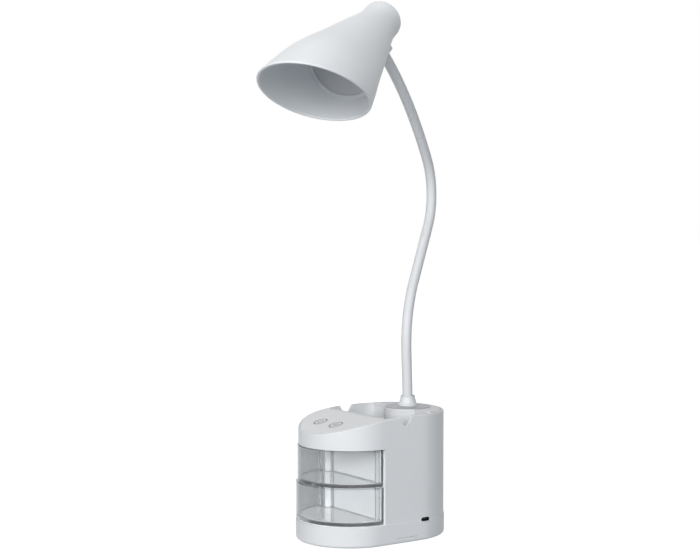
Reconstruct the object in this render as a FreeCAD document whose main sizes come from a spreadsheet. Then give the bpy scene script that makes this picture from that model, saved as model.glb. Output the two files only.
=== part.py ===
"""Desk lamp on a storage base: gooseneck, cone shade, pen pocket and two swing-out clear trays.

Frame: origin at the middle of the footprint on the standing plane, +Z up, front of the base at -Y.
Lengths are in millimetres and angles in degrees.
"""
import FreeCAD, Part
import math
import os
import Sketcher
from FreeCAD import Placement, Rotation, Vector

doc = FreeCAD.newDocument("desk_lamp")

# ---------------------------------------------------------------- driving dimensions
sheet = doc.addObject("Spreadsheet::Sheet", "sizes")
SIZES = [
    # base outline: two round ends joined by straight sides
    ("base_radius", 42, "radius of the round ends of the lower shell"),
    ("end_centre", 19.6, "distance of each round end's centre from the middle"),
    ("foot_proud", 0.8, "height of the feet below the lower shell"),
    ("seam_height", 16.4, "height of the seam between the two shells"),
    ("shell_wall", 2.2, "wall of both shells"),
    ("tray_floor", 3, "floor of the lower shell"),
    ("bottom_round", 2.6, "round of the lower shell's bottom edge"),
    # upper shell
    ("housing_inset", 0.5, "how far the upper shell stands inside the lower one"),
    ("hood_setback", 1.8, "how far the upper shell's front centre lies behind the lower one's"),
    ("top_height", 98, "height of the flat rear top"),
    ("top_curve_start", 10, "Y where the top starts to fall to the front"),
    ("top_curve_radius", 187, "radius of the falling top"),
    ("top_round", 1.2, "round of the top's outer edge"),
    ("plug_depth", 2, "how far the upper shell's floor drops into the lower shell"),
    ("plug_play", 0.15, "play round the upper shell's floor in the lower shell"),
    ("bay_floor_thick", 2.5, "floor under the trays"),
    ("bay_ceiling", 74.2, "underside of the hood"),
    ("hood_floor_thick", 2, "plate over the trays"),
    ("bay_back", 15.6, "distance of the bay's back face in front of the middle"),
    ("pocket_front", 12.4, "distance of the pen pocket's front face in front of the middle"),
    ("pocket_floor_top", 30, "height of the pen pocket's floor"),
    ("pocket_floor_thick", 2, "thickness of the pen pocket's floor"),
    ("pocket_round", 2, "round of the pen pocket's floor"),
    ("pocket_rear", 29, "Y of the pen pocket's flat rear face"),
    ("pocket_rear_wall", 2, "wall behind the pen pocket"),
    ("bulge_radius", 19, "radius of the deck's bulge round the neck"),
    ("notch_centre", 3.8, "Y of the side notches"),
    ("notch_bottom", 89.9, "height of the notches' lowest point"),
    ("notch_round", 2.8, "radius of the notches' bottom"),
    ("notch_top_half", 6.8, "half the notches' width at the rim"),
    # rear deck, disc and neck foot
    ("neck_offset", 36.1, "Y of the neck's foot"),
    ("deck_thick", 3, "thickness of the rear deck"),
    ("deck_proud", 0.5, "how far the deck stands above the rim"),
    ("deck_gap", 0.2, "play round the deck"),
    ("deck_round", 0.8, "round of the deck's top edge"),
    ("deck_ledge", 1.5, "width of the ledge under the deck"),
    ("disc_radius", 18.4, "radius of the grey disc"),
    ("disc_edge_thick", 1.4, "thickness of the disc at its rim"),
    ("disc_rise", 0.8, "dome of the disc"),
    ("disc_sink", 1.2, "how far the disc sinks into the deck"),
    ("stud_radius", 5, "radius of the threaded stud"),
    ("stud_bore", 2.2, "radius of the lead's way through the stud"),
    ("stud_drop", 12, "length of the stud below the deck's top"),
    ("stud_rise", 1.3, "height of the stud's end over the disc"),
    ("stud_play", 0.1, "radial play of the stud in the deck, disc and collar"),
    ("nut_radius", 9, "radius across the nut's corners"),
    ("nut_thick", 5, "thickness of the nut"),
    ("washer_radius", 10, "radius of the spring washer"),
    ("washer_thick", 1, "thickness of the spring washer"),
    ("collar_foot_radius", 8.1, "radius of the collar's foot"),
    ("collar_top_radius", 5.7, "radius of the collar's top"),
    ("collar_height", 8, "height of the collar"),
    ("collar_lip", 0.8, "height of the collar's rolled lip"),
    ("collar_play", 0.65, "radial play of the leaning neck in the collar"),
    # gooseneck
    ("neck_radius", 4.05, "outer radius of the gooseneck"),
    ("neck_yaw", 32, "turn of the neck's plane from the front towards +X"),
    ("neck_lean", 4.2, "forward lean at the foot"),
    ("neck_rise", 41, "first straight length"),
    ("neck_back_radius", 83.3, "radius of the backward bend"),
    ("neck_back_turn", 40.35, "turn of the backward bend"),
    ("neck_middle", 54.1, "straight length between the bends"),
    ("neck_front_radius", 44, "radius of the forward bend"),
    ("neck_front_turn", 75.8, "turn of the forward bend"),
    ("neck_upper_radius", 311, "radius of the long upper bend"),
    ("neck_upper_turn", 23, "turn of the long upper bend"),
    ("neck_end", 12, "last straight length, into the head"),
    ("neck_seat_play", 0.4, "play between the stud and the neck's foot"),
    ("link_first", 45, "length of neck that stands firm in the collar"),
    ("link_length", 55, "length of each moving stretch of neck"),
    ("link_gap", 0.3, "play between a stretch's round end and the next one's cup"),
    # lamp head
    ("head_back", 19.55, "distance of the shade's rear end behind the neck's end, along the shade's axis"),
    ("head_over", 11.54, "distance of the shade's axis over the neck's end"),
    ("head_dip", 29.1, "dip of the shade's axis"),
    ("mouth_dip", 70.5, "dip of the mouth's normal"),
    ("mouth_station", 136.9, "place of the mouth's plane on the axis"),
    ("shade_wall", 1.8, "wall of the shade"),
    ("shade_end_round", 3.2, "round of the closed rear end"),
    ("shade_rear_radius", 15.75, "shade radius at the rear end"),
    ("shade_waist_station", 17, "place of the shade's waist on the axis"),
    ("shade_waist_radius", 15.4, "shade radius at its waist"),
    ("shade_neck_station", 28.7, "place of the shade's neck on the axis"),
    ("shade_neck_radius", 17.4, "shade radius at its neck"),
    ("shade_flank_station", 57.7, "place of the flank on the axis"),
    ("shade_flank_radius", 23.4, "shade radius at the flank"),
    ("shade_mid_station", 88.7, "place of the shade's middle on the axis"),
    ("shade_mid_radius", 29.4, "shade radius at its middle"),
    ("shade_front_station", 123.7, "place of the front on the axis"),
    ("shade_front_radius", 36.2, "shade radius at the front"),
    ("shade_rim_station", 158.7, "place of the rim's lower side on the axis"),
    ("shade_rim_radius", 38.9, "shade radius at the rim's lower side"),
    ("shade_flare", 0.07, "slope of the shade's line past its rim station"),
    ("carrier_station", 62.7, "place of the light's carrier on the axis"),
    ("carrier_thick", 2, "thickness of the light's carrier"),
    ("board_thick", 1.6, "thickness of the circuit boards"),
    ("light_board_radius", 19, "radius of the light's board"),
    ("chip_count", 12, "number of light chips in the ring"),
    ("chip_ring_radius", 13, "radius of the ring of chips"),
    ("chip_size", 3, "side of a light chip"),
    ("chip_thick", 0.8, "thickness of a light chip"),
    ("diffuser_station", 82.7, "place of the diffuser's back face on the axis"),
    ("diffuser_radius", 25.2, "radius of the diffuser"),
    ("diffuser_thick", 2, "thickness of the diffuser"),
    ("diffuser_rise", 2.2, "dome of the diffuser"),
    ("ring_thick", 3, "depth of the ring that holds the diffuser"),
    ("ring_lip", 1.4, "how far the ring reaches over the diffuser"),
    ("ring_face", 1.5, "thickness of the ring's lip"),
    ("socket_radius", 8.1, "radius of the socket's stub under the shade"),
    ("socket_proud", 6.2, "how far the socket's stub stands proud of the shade"),
    ("socket_wall", 1.6, "wall of the socket's sleeve round the neck's end"),
    ("socket_play", 0.05, "radial play in the socket"),
    ("light_screw_radius", 1, "shank radius of the light's screws"),
    ("light_screw_head", 1.9, "head radius of the light's screws"),
    ("light_screw_thick", 1.2, "head height of the light's screws"),
    ("light_screw_margin", 2.6, "distance of the light's screws from the board's rim"),
    # trays on their post
    ("post_radius", 3.2, "radius of the post that the trays swing on"),
    ("post_inset", 7.4, "distance of the post inside the lower shell's side"),
    ("post_y", 16.6, "distance of the post in front of the middle"),
    ("post_socket", 1.2, "depth of the post's sockets"),
    ("post_play", 0.1, "radial play of the hubs on the post"),
    ("hub_swing_play", 0.5, "room round the swinging corners"),
    ("post_washer_thick", 0.5, "thickness of the washers on the post"),
    ("post_washer_radius", 5.4, "radius of the washers on the post"),
    ("lower_tray_inset", 0.2, "how far the lower tray's front stands inside the lower shell's"),
    ("lower_tray_height", 27.9, "height of the lower tray"),
    ("upper_tray_inset", 0.8, "how far the upper tray's front stands inside the lower shell's"),
    ("upper_tray_setback", 0.6, "how far the upper tray's centre lies behind the lower one's"),
    ("upper_tray_height", 27.5, "height of the upper tray"),
    ("tray_wall", 2, "wall of the trays"),
    ("tray_base", 2.2, "floor of the trays"),
    ("tray_corner", 2.6, "corner radius at the trays' free end"),
    ("tray_back_gap", 0.4, "room between the trays and the bay's back"),
    ("tray_inner_round", 1.4, "round inside the trays' floor"),
    ("tray_edge_round", 0.7, "round of the trays' lower front edge"),
    ("tray_end_play", 0.1, "play between a tray and each washer"),
    # touch panel
    ("panel_inset", 1.5, "margin between the hood's edge and the panel"),
    ("panel_thick", 1.8, "thickness of the panel"),
    ("panel_gap", 0.15, "play round the panel"),
    ("panel_ledge", 3, "width of the ledge under the panel"),
    ("panel_back", 15, "distance of the panel's straight edge in front of the middle"),
    ("touch_board_width", 38, "width of the touch board"),
    ("touch_board_depth", 18, "depth of the touch board"),
    ("touch_centre", 39.8, "distance of the touch keys in front of the middle"),
    # electronics and cover in the lower shell
    ("cover_left", 34, "distance of the bottom cover's left edge from the middle"),
    ("cover_right", 22, "distance of the bottom cover's right edge from the middle"),
    ("cover_front", 16, "distance of the bottom cover's front edge in front of the middle"),
    ("cover_rear", 20, "Y of the bottom cover's rear edge"),
    ("cover_thick", 1.8, "thickness of the bottom cover"),
    ("cover_play", 0.25, "play round the bottom cover"),
    ("cover_ledge", 3, "ledge inside the bottom cover's opening"),
    ("tongue_front", 4.2, "distance of the tongue's front edge in front of the middle"),
    ("tongue_rear", 13.8, "Y of the tongue's rear edge"),
    ("tongue_top", 5.1, "height of the tongue on the side wall"),
    ("battery_length", 44, "length of the battery pack"),
    ("battery_width", 29, "width of the battery pack"),
    ("battery_thick", 8, "thickness of the battery pack"),
    ("battery_x", 4, "distance of the battery pack's middle left of the base's"),
    ("battery_y", 2, "Y of the battery pack's middle"),
    ("battery_round", 2, "round of the battery pack's edges"),
    ("port_y", 22.3, "Y of the charging port"),
    ("port_height", 17, "height of the charging port's centre"),
    ("port_width", 8.1, "width of the port's window"),
    ("port_opening", 3.2, "height of the port's window"),
    ("port_shell_width", 7.5, "width of the port's metal shell"),
    ("port_shell_height", 2.8, "height of the port's metal shell"),
    ("port_shell_depth", 5.6, "depth of the port's metal shell"),
    ("port_shell_round", 1.2, "corner radius of the port's metal shell"),
    ("port_shell_wall", 0.4, "wall of the port's metal shell"),
    ("main_board_length", 24, "length of the main board along X"),
    ("main_board_front", 14, "how far the main board reaches in front of the port"),
    ("main_board_rear", 5, "how far the main board reaches behind the port"),
    ("main_board_gap", 1.9, "room between the main board and the upper shell's inner side"),
    # screws and feet
    ("foot_radius", 5, "radius of the feet"),
    ("foot_thick", 1.5, "thickness of the feet"),
    ("foot_inset", 10.5, "distance of the outer feet's centres inside the lower shell's edge"),
    ("front_foot_turn", 31, "turn of the front feet from straight ahead, about the front round end's centre"),
    ("rear_foot_turn", 67, "turn of the rear feet from straight behind, about the rear round end's centre"),
    ("foot_play", 0.1, "play round the feet in their seats"),
    ("screw_radius", 1.3, "shank radius of the case screws"),
    ("screw_head_radius", 2.6, "head radius of the case screws"),
    ("screw_head_thick", 1.6, "head height of the case screws"),
    ("screw_post_radius", 4, "radius of the screw posts"),
    ("screw_bite", 8, "length of thread in the upper shell"),
    ("front_screw_x", 26, "distance of the front case screws from the middle"),
    ("front_screw_y", 34, "distance of the front case screws in front of the middle"),
    ("rear_screw_turn", 34.2, "turn of the rear case screws from straight behind, about the rear centre"),
    ("post_bite", 0.25, "how far the rear screw posts sink into the upper shell's wall"),
    ("shank_play", 0.2, "play round the screws' shanks"),
    ("head_play", 0.3, "play round the screws' heads"),
    ("cover_screw_radius", 1, "shank radius of the cover's screws"),
    ("cover_screw_x", 30, "distance of the cover's screws left of the middle"),
]
for row, (alias, amount, meaning) in enumerate(SIZES, start=1):
    sheet.set("A%d" % row, meaning)
    sheet.set("B%d" % row, str(amount))
    sheet.setAlias("B%d" % row, alias)
doc.recompute()


def size(alias):
    """The sheet's number behind an alias."""
    return float(getattr(sheet, alias))


# ---------------------------------------------------------------- helpers
PARTS = []          # (node name, document object)


def node(name, thing):
    """Name a finished sub-part; its label names its file."""
    thing.Label = name
    PARTS.append((name, thing))
    return thing


def bind(thing, **sizes):
    """Bind properties to expressions; a double underscore stands for a dot."""
    for prop, text in sizes.items():
        thing.setExpression(prop.replace("__", "."), text)
    return thing


def new_body(name):
    return doc.addObject("PartDesign::Body", name)


def plane_of(body, role):
    return [f for f in body.Origin.OriginFeatures if f.Role == role][0]


def sketch_on(body, name, role="XY_Plane", lift=None):
    """A sketch on one of the body's own planes, lifted along the plane's normal by an expression."""
    sketch = body.newObject("Sketcher::SketchObject", name)
    sketch.AttachmentSupport = [(plane_of(body, role), "")]
    sketch.MapMode = "FlatFace"
    if lift:
        sketch.setExpression("AttachmentOffset.Base.z", lift)
    return sketch


def pad(body, sketch, name, length):
    feature = body.newObject("PartDesign::Pad", name)
    feature.Profile = sketch
    feature.setExpression("Length", length)
    doc.recompute()
    return feature


def pocket(body, sketch, name, length=None):
    """Cut downwards by a length, or through everything on both sides of the sketch's plane."""
    before = body.Shape.Volume
    feature = body.newObject("PartDesign::Pocket", name)
    feature.Profile = sketch
    if length:
        feature.setExpression("Length", length)
    else:
        feature.Type = "ThroughAll"
        feature.Midplane = True
    doc.recompute()
    if not body.Shape.Volume < before:
        raise ValueError("%s removes nothing" % name)
    return feature


def fillet(body, name, radius, choose):
    """Round the edges of the body's tip that choose() accepts."""
    base = body.Tip
    names = ["Edge%d" % (i + 1) for i, e in enumerate(base.Shape.Edges) if choose(e)]
    feature = body.newObject("PartDesign::Fillet", name)
    feature.Base = (base, names)
    feature.setExpression("Radius", radius)
    doc.recompute()
    return feature


def at_height(edge, height):
    box = edge.BoundBox
    return abs(box.ZMin - height) < 1e-4 and abs(box.ZMax - height) < 1e-4


def constrain(sketch, kind, name, expression, *where):
    """A dimension of the sketch, bound to the sheet."""
    number = sketch.addConstraint(Sketcher.Constraint(kind, *where))
    sketch.renameConstraint(number, name)
    sketch.setExpression("Constraints." + name, expression)


def stadium(sketch, radius, front, rear):
    """Two round ends joined by straight sides; front and rear are the end centres' distances."""
    r, f, b = [float(sketch.evalExpression(e)) for e in (radius, front, rear)]
    up = Vector(0, 0, 1)
    sketch.addGeometry(Part.ArcOfCircle(Part.Circle(Vector(0, b, 0), up, r), 0, math.pi))
    sketch.addGeometry(Part.LineSegment(Vector(-r, b, 0), Vector(-r, -f, 0)))
    sketch.addGeometry(Part.ArcOfCircle(Part.Circle(Vector(0, -f, 0), up, r), math.pi, 2 * math.pi))
    sketch.addGeometry(Part.LineSegment(Vector(r, -f, 0), Vector(r, b, 0)))
    for a, a_end, c, c_end in ((0, 2, 1, 1), (1, 2, 2, 1), (2, 2, 3, 1), (3, 2, 0, 1)):
        sketch.addConstraint(Sketcher.Constraint("Tangent", a, a_end, c, c_end))
    sketch.addConstraint(Sketcher.Constraint("PointOnObject", 0, 3, -2))
    sketch.addConstraint(Sketcher.Constraint("PointOnObject", 2, 3, -2))
    constrain(sketch, "DistanceY", "rear_centre", rear, -1, 1, 0, 3, b)
    constrain(sketch, "DistanceY", "front_centre", front, 2, 3, -1, 1, f)
    constrain(sketch, "Radius", "round_end", radius, 0, r)
    return sketch


def box(name, x0, x1, y0, y1, z0, z1):
    """A box between six planes, each an expression."""
    thing = doc.addObject("Part::Box", name)
    bind(thing, Length="(%s) - (%s)" % (x1, x0), Width="(%s) - (%s)" % (y1, y0),
         Height="(%s) - (%s)" % (z1, z0))
    bind(thing, Placement__Base__x=x0, Placement__Base__y=y0, Placement__Base__z=z0)
    return thing


def rod(name, radius, x, y, z0, z1):
    """An upright cylinder between two heights."""
    thing = doc.addObject("Part::Cylinder", name)
    bind(thing, Radius=radius, Height="(%s) - (%s)" % (z1, z0))
    bind(thing, Placement__Base__x=x, Placement__Base__y=y, Placement__Base__z=z0)
    return thing


def fuse(name, *things):
    thing = doc.addObject("Part::MultiFuse", name)
    thing.Shapes = list(things)
    return thing


def common(name, *things):
    thing = doc.addObject("Part::MultiCommon", name)
    thing.Shapes = list(things)
    return thing


def cut(name, base, *tools):
    thing = doc.addObject("Part::Cut", name)
    thing.Base = base
    thing.Tool = tools[0] if len(tools) == 1 else fuse(name + "_tools", *tools)
    return thing


def rounded(name, base, radius, choose):
    """Round the edges of a finished object that choose() accepts."""
    doc.recompute()
    amount = float(sheet.evalExpression(radius))
    thing = doc.addObject("Part::Fillet", name)
    thing.Base = base
    thing.Edges = [(i + 1, amount, amount) for i, e in enumerate(base.Shape.Edges) if choose(e)]
    doc.recompute()
    return thing


def stadium_prism(name, radius, front, rear, low, high):
    body = new_body(name)
    pad(body, stadium(sketch_on(body, name + "_plan", lift=low), radius, front, rear),
        name + "_pad", "(%s) - (%s)" % (high, low))
    return body


# ---------------------------------------------------------------- shared places
END = "sizes.end_centre"
FLOOR = "sizes.foot_proud + sizes.tray_floor"
PLUG_LOW = "sizes.seam_height - sizes.plug_depth"
BAY_FLOOR = "sizes.seam_height - sizes.plug_depth + sizes.bay_floor_thick"
BOSS_LOW = "sizes.seam_height - sizes.plug_depth + sizes.bay_floor_thick - sizes.screw_bite"
HOUSING_R = "sizes.base_radius - sizes.housing_inset"
HOUSING_IN = "sizes.base_radius - sizes.housing_inset - sizes.shell_wall"
HOOD_CENTRE = "sizes.end_centre - sizes.hood_setback"
SKY = "sizes.top_height + 40"
FAR = "sizes.base_radius + 40"
REACH = "sizes.end_centre + sizes.base_radius + 10"
REAR_RING = "(" + HOUSING_IN + " + sizes.post_bite - sizes.screw_post_radius)"
REAR_SCREW_X = REAR_RING + " * sin(sizes.rear_screw_turn)"
REAR_SCREW_Y = "sizes.end_centre + " + REAR_RING + " * cos(sizes.rear_screw_turn)"
SCREWS = [("sizes.front_screw_x", "-sizes.front_screw_y"), ("-sizes.front_screw_x", "-sizes.front_screw_y"),
          (REAR_SCREW_X, REAR_SCREW_Y), ("-" + REAR_SCREW_X, REAR_SCREW_Y)]
COVER_SCREWS = [("-sizes.cover_screw_x", "-sizes.cover_front + sizes.foot_radius"),
                ("-sizes.cover_screw_x", "sizes.cover_rear - sizes.foot_radius")]
FOOT_RING = "(sizes.base_radius - sizes.foot_inset)"
FRONT_FOOT_X, FRONT_FOOT_Y, REAR_FOOT_X, REAR_FOOT_Y = [
    FOOT_RING + " * %s(sizes.%s_foot_turn)" % way
    for way in (("sin", "front"), ("cos", "front"), ("sin", "rear"), ("cos", "rear"))]
FEET = [(sign + x, y) for x, y in ((FRONT_FOOT_X, "-sizes.end_centre - " + FRONT_FOOT_Y),
                                   (REAR_FOOT_X, "sizes.end_centre + " + REAR_FOOT_Y)) for sign in ("",
                                                                                                    "-")]
BOARD_POSTS = [("sizes.base_radius - 12", "sizes.port_y - 6"),
               ("sizes.base_radius - 22", "sizes.port_y + 2")]
BOARD_TOP = "sizes.port_height - sizes.port_shell_height / 2"
BOARD_LOW = BOARD_TOP + " - sizes.board_thick"

# ---------------------------------------------------------------- base_tray: the lower shell
outer = new_body("tray_outer")
pad(outer, stadium(sketch_on(outer, "tray_plan", lift="sizes.foot_proud"), "sizes.base_radius", END, END),
    "tray_pad", "sizes.seam_height - sizes.foot_proud")
fillet(outer, "tray_bottom_round", "sizes.bottom_round", lambda e: at_height(e, size("foot_proud")))
hollow = stadium_prism("tray_hollow", "sizes.base_radius - sizes.shell_wall", END, END, FLOOR,
                       "sizes.seam_height + 1")
cover_zone = fuse(
    "cover_zone",
    box("cover_plate_zone", "-sizes.cover_left", "sizes.cover_right", "-sizes.cover_front",
        "sizes.cover_rear",
        "0", "sizes.foot_proud + sizes.cover_thick"),
    box("tongue_floor_zone", "0", FAR, "-sizes.tongue_front", "sizes.tongue_rear",
        "0", "sizes.foot_proud + sizes.cover_thick"),
    box("tongue_wall_zone", "sizes.base_radius - sizes.shell_wall / 2", FAR, "-sizes.tongue_front",
        "sizes.tongue_rear", "0", "sizes.tongue_top"))
cover_room = fuse(
    "cover_room",
    box("cover_plate_room", "-sizes.cover_left - sizes.cover_play", "sizes.cover_right + sizes.cover_play",
        "-sizes.cover_front - sizes.cover_play", "sizes.cover_rear + sizes.cover_play",
        "0", "sizes.foot_proud + sizes.cover_thick"),
    box("tongue_floor_room", "0", FAR, "-sizes.tongue_front - sizes.cover_play",
        "sizes.tongue_rear + sizes.cover_play",
        "0", "sizes.foot_proud + sizes.cover_thick"),
    box("tongue_wall_room", "sizes.base_radius - sizes.shell_wall / 2 - 0.05", FAR,
        "-sizes.tongue_front - sizes.cover_play", "sizes.tongue_rear + sizes.cover_play",
        "0", "sizes.tongue_top + sizes.cover_play"),
    box("battery_hatch", "sizes.cover_ledge * 2 - sizes.cover_left",
        "sizes.cover_right - sizes.cover_ledge",
        "sizes.cover_ledge - sizes.cover_front", "sizes.cover_rear - sizes.cover_ledge", "0", FLOOR + " + 1"))
posts = [rod("tray_post_%d" % i, "sizes.screw_post_radius", x, y, "sizes.foot_proud + 1", BOSS_LOW)
         for i, (x, y) in enumerate(SCREWS)]
cover_posts = [rod("cover_post_%d" % i, "sizes.screw_head_radius", x, y, FLOOR + " - 0.5", FLOOR + " + 5")
               for i, (x, y) in enumerate(COVER_SCREWS)]
board_posts = [rod("board_post_%d" % i, "sizes.screw_head_radius", x, y, FLOOR + " - 0.5", BOARD_LOW)
               for i, (x, y) in enumerate(BOARD_POSTS)]
holes = []
for i, (x, y) in enumerate(SCREWS):
    holes.append(rod("shank_hole_%d" % i, "sizes.screw_radius + sizes.shank_play", x, y, "0",
                     "sizes.seam_height"))
    holes.append(rod("head_hole_%d" % i, "sizes.screw_head_radius + sizes.head_play", x, y, "0",
                     "sizes.foot_proud + sizes.screw_head_thick"))
for i, (x, y) in enumerate(COVER_SCREWS):
    holes.append(rod("cover_pilot_%d" % i, "sizes.cover_screw_radius", x, y, "0", FLOOR + " + 4"))
foot_seats = [rod("foot_seat_%d" % i, "sizes.foot_radius + sizes.foot_play", x, y, "0", "sizes.foot_thick")
              for i, (x, y) in enumerate(FEET)]


def port_window(name, grow):
    """The charging port's window: a slot with round ends through the right-hand wall."""
    half = "(sizes.port_opening / 2 + %s)" % grow
    middle = box(name + "_middle", "sizes.base_radius - 8", FAR,
                 "sizes.port_y - sizes.port_width / 2 + sizes.port_opening / 2",
                 "sizes.port_y + sizes.port_width / 2 - sizes.port_opening / 2",
                 "sizes.port_height - " + half, "sizes.port_height + " + half)
    ends = []
    for i, sign in enumerate("-+"):
        end = doc.addObject("Part::Cylinder", "%s_end_%d" % (name, i))
        end.Placement = Placement(Vector(), Rotation(Vector(0, 1, 0), 90))
        bind(end, Radius=half, Height="48", Placement__Base__x="sizes.base_radius - 8",
             Placement__Base__y="sizes.port_y %s (sizes.port_width - sizes.port_opening) / 2" % sign,
             Placement__Base__z="sizes.port_height")
        ends.append(end)
    return fuse(name, middle, *ends)


window = port_window("port_window", "0")
tray_raw = cut("tray_raw", outer, hollow)
tray_full = fuse("tray_full", tray_raw, *(posts + cover_posts + board_posts))
node("base_tray", cut("base_tray_cut", tray_full, cover_room, window, *(holes + foot_seats)))

# ------------------------------------------------ bottom_cover: the battery hatch with its side tongue
cover_blank = common("cover_blank", outer, cover_zone)
cover_holes = [rod("cover_hole_%d" % i, "sizes.cover_screw_radius + sizes.shank_play", x, y, "0", FLOOR)
               for i, (x, y) in enumerate(COVER_SCREWS)]
cover_sinks = [rod("cover_sink_%d" % i, "sizes.cover_screw_radius + 1.2", x, y, "0",
                   "sizes.foot_proud + 0.9")
               for i, (x, y) in enumerate(COVER_SCREWS)]
cover_foot_seat = rod("cover_foot_seat", "sizes.foot_radius + sizes.foot_play", "0", "0", "0",
                      "sizes.foot_thick")
node("bottom_cover", cut("bottom_cover_cut", cover_blank, cover_foot_seat, *(cover_holes + cover_sinks)))


# ---------------------------------------------------------------- housing: the upper shell
SKY_ROOM = 40       # height of the cutting space over the falling top


def top_profile(sketch, drop):
    """The space over the falling top, lowered by an expression; drawn in the YZ plane."""
    start, radius, low = [float(sketch.evalExpression(e)) for e in
                          ("sizes.top_curve_start", "sizes.top_curve_radius - (%s)" % drop, drop)]
    top = size("top_height") - low
    far = size("end_centre") + size("base_radius") + 10
    reach = math.asin((far + start) / radius)
    centre = Vector(start, top - radius, 0)
    front = centre + Vector(-radius * math.sin(reach), radius * math.cos(reach), 0)
    rear = Vector(far, top, 0)
    sketch.addGeometry(Part.ArcOfCircle(Part.Circle(centre, Vector(0, 0, 1), radius), math.pi / 2,
                                        math.pi / 2 + reach))
    sky = top + SKY_ROOM
    corners = [front, Vector(front.x, sky, 0), Vector(far, sky, 0), rear, Vector(start, top, 0)]
    for a, b in zip(corners, corners[1:]):
        sketch.addGeometry(Part.LineSegment(a, b))
    for a, a_end, c, c_end in ((0, 2, 1, 1), (1, 2, 2, 1), (2, 2, 3, 1), (3, 2, 4, 1), (4, 2, 0, 1)):
        sketch.addConstraint(Sketcher.Constraint("Coincident", a, a_end, c, c_end))
    for line, way in ((1, "Vertical"), (2, "Horizontal"), (3, "Vertical"), (4, "Horizontal")):
        sketch.addConstraint(Sketcher.Constraint(way, line))
    constrain(sketch, "Radius", "fall", "sizes.top_curve_radius - (%s)" % drop, 0, radius)
    constrain(sketch, "DistanceX", "fall_start", "sizes.top_curve_start", -1, 1, 0, 3, start)
    constrain(sketch, "DistanceY", "rear_top", "sizes.top_height - (%s)" % drop, -1, 1, 3, 2, top)
    constrain(sketch, "DistanceX", "front_end", REACH, 0, 2, -1, 1, far)
    constrain(sketch, "DistanceX", "rear_end", REACH, -1, 1, 3, 1, far)
    constrain(sketch, "DistanceY", "head_room", "sizes.top_height - (%s) + %s" % (drop, SKY_ROOM),
              -1, 1, 2, 2, sky)
    constrain(sketch, "DistanceX", "arc_start", "sizes.top_curve_start", -1, 1, 0, 1, start)
    return sketch


def sky_over(name, drop):
    """A wide solid that fills the space over the top, lowered by an expression."""
    body = new_body(name)
    feature = pad(body, top_profile(sketch_on(body, name + "_profile", "YZ_Plane"), drop), name + "_pad",
                  "2 * (%s)" % FAR)
    feature.Midplane = True
    doc.recompute()
    return body


def dee_prism(name, radius, centre, straight, low, high, sign=-1):
    """A stadium cut off along a straight edge: the round end towards -Y or +Y stays."""
    whole = stadium_prism(name + "_round", radius, centre, centre, low, high)
    side = ("-(%s)" % REACH, straight) if sign < 0 else (straight, REACH)
    keep = box(name + "_keep", "-(%s)" % FAR, FAR, side[0], side[1], low, high)
    return common(name, whole, keep)


shell = new_body("housing_outer")
pad(shell, stadium(sketch_on(shell, "housing_plan", lift="sizes.seam_height"), HOUSING_R, HOOD_CENTRE, END),
    "housing_pad", "sizes.top_height - sizes.seam_height")
pocket(shell, top_profile(sketch_on(shell, "top_profile", "YZ_Plane"), "0"), "top_fall")
hood_front = size("end_centre") - size("hood_setback") + size("base_radius") - size("housing_inset")
hood_low = size("top_height") - (hood_front + size("top_curve_start")) ** 2 / size("top_curve_radius")
fillet(shell, "top_edge_round", "sizes.top_round",
       lambda e: e.BoundBox.ZMin > hood_low and e.BoundBox.YLength > 1e-3)

plug = stadium_prism("housing_plug", "sizes.base_radius - sizes.shell_wall - sizes.plug_play", END, END,
                     PLUG_LOW, BAY_FLOOR)
bosses = [rod("boss_%d" % i, "sizes.screw_post_radius", x, y, BOSS_LOW,
              BAY_FLOOR if y.startswith("-") else "sizes.pocket_floor_top") for i, (x,
                                                                                    y) in enumerate(SCREWS)]
housing_solid = fuse("housing_solid", shell, plug, *bosses)

POST_X = "(sizes.base_radius - sizes.post_inset)"
POST = ("-" + POST_X, "-sizes.post_y")
LOWER_R = "sizes.base_radius - sizes.lower_tray_inset"
UPPER_R = "sizes.base_radius - sizes.upper_tray_inset"
HUB_R = "sizes.post_inset - sizes.lower_tray_inset"
NICHE_R = HUB_R + " + sizes.hub_swing_play"
NICHE_BACK = "-sizes.post_y + " + NICHE_R
HOOD_FLOOR = "sizes.bay_ceiling + sizes.hood_floor_thick"
niche_walls = fuse(
    "niche_walls",
    rod("niche_wall_round", NICHE_R + " + sizes.shell_wall", POST[0], POST[1], "0", HOOD_FLOOR),
    box("niche_wall_side", "-(%s)" % FAR, POST[0], "-(%s)" % REACH, NICHE_BACK + " + sizes.shell_wall",
        "0", HOOD_FLOOR))
bay = fuse(
    "bay",
    box("bay_room", "-(%s)" % FAR, FAR, "-(%s)" % REACH, "-sizes.bay_back", BAY_FLOOR, "sizes.bay_ceiling"),
    rod("bay_niche", NICHE_R, POST[0], POST[1], BAY_FLOOR, "sizes.bay_ceiling"),
    box("bay_side", "-(%s)" % FAR, POST[0], "-(%s)" % REACH, NICHE_BACK, BAY_FLOOR, "sizes.bay_ceiling"))


def inside(name, inset, y0, y1, z0, z1):
    """The upper shell's inner room between two planes of Y and two heights."""
    room = stadium_prism(name + "_room", HOUSING_IN + " - (%s)" % inset, END, END, z0, z1)
    keep = box(name + "_span", "-(%s)" % FAR, FAR, y0, y1, z0, z1)
    return common(name, room, keep)


def neck_rod(name, radius, z0, z1):
    return rod(name, radius, "0", "sizes.neck_offset", z0, z1)


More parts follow.
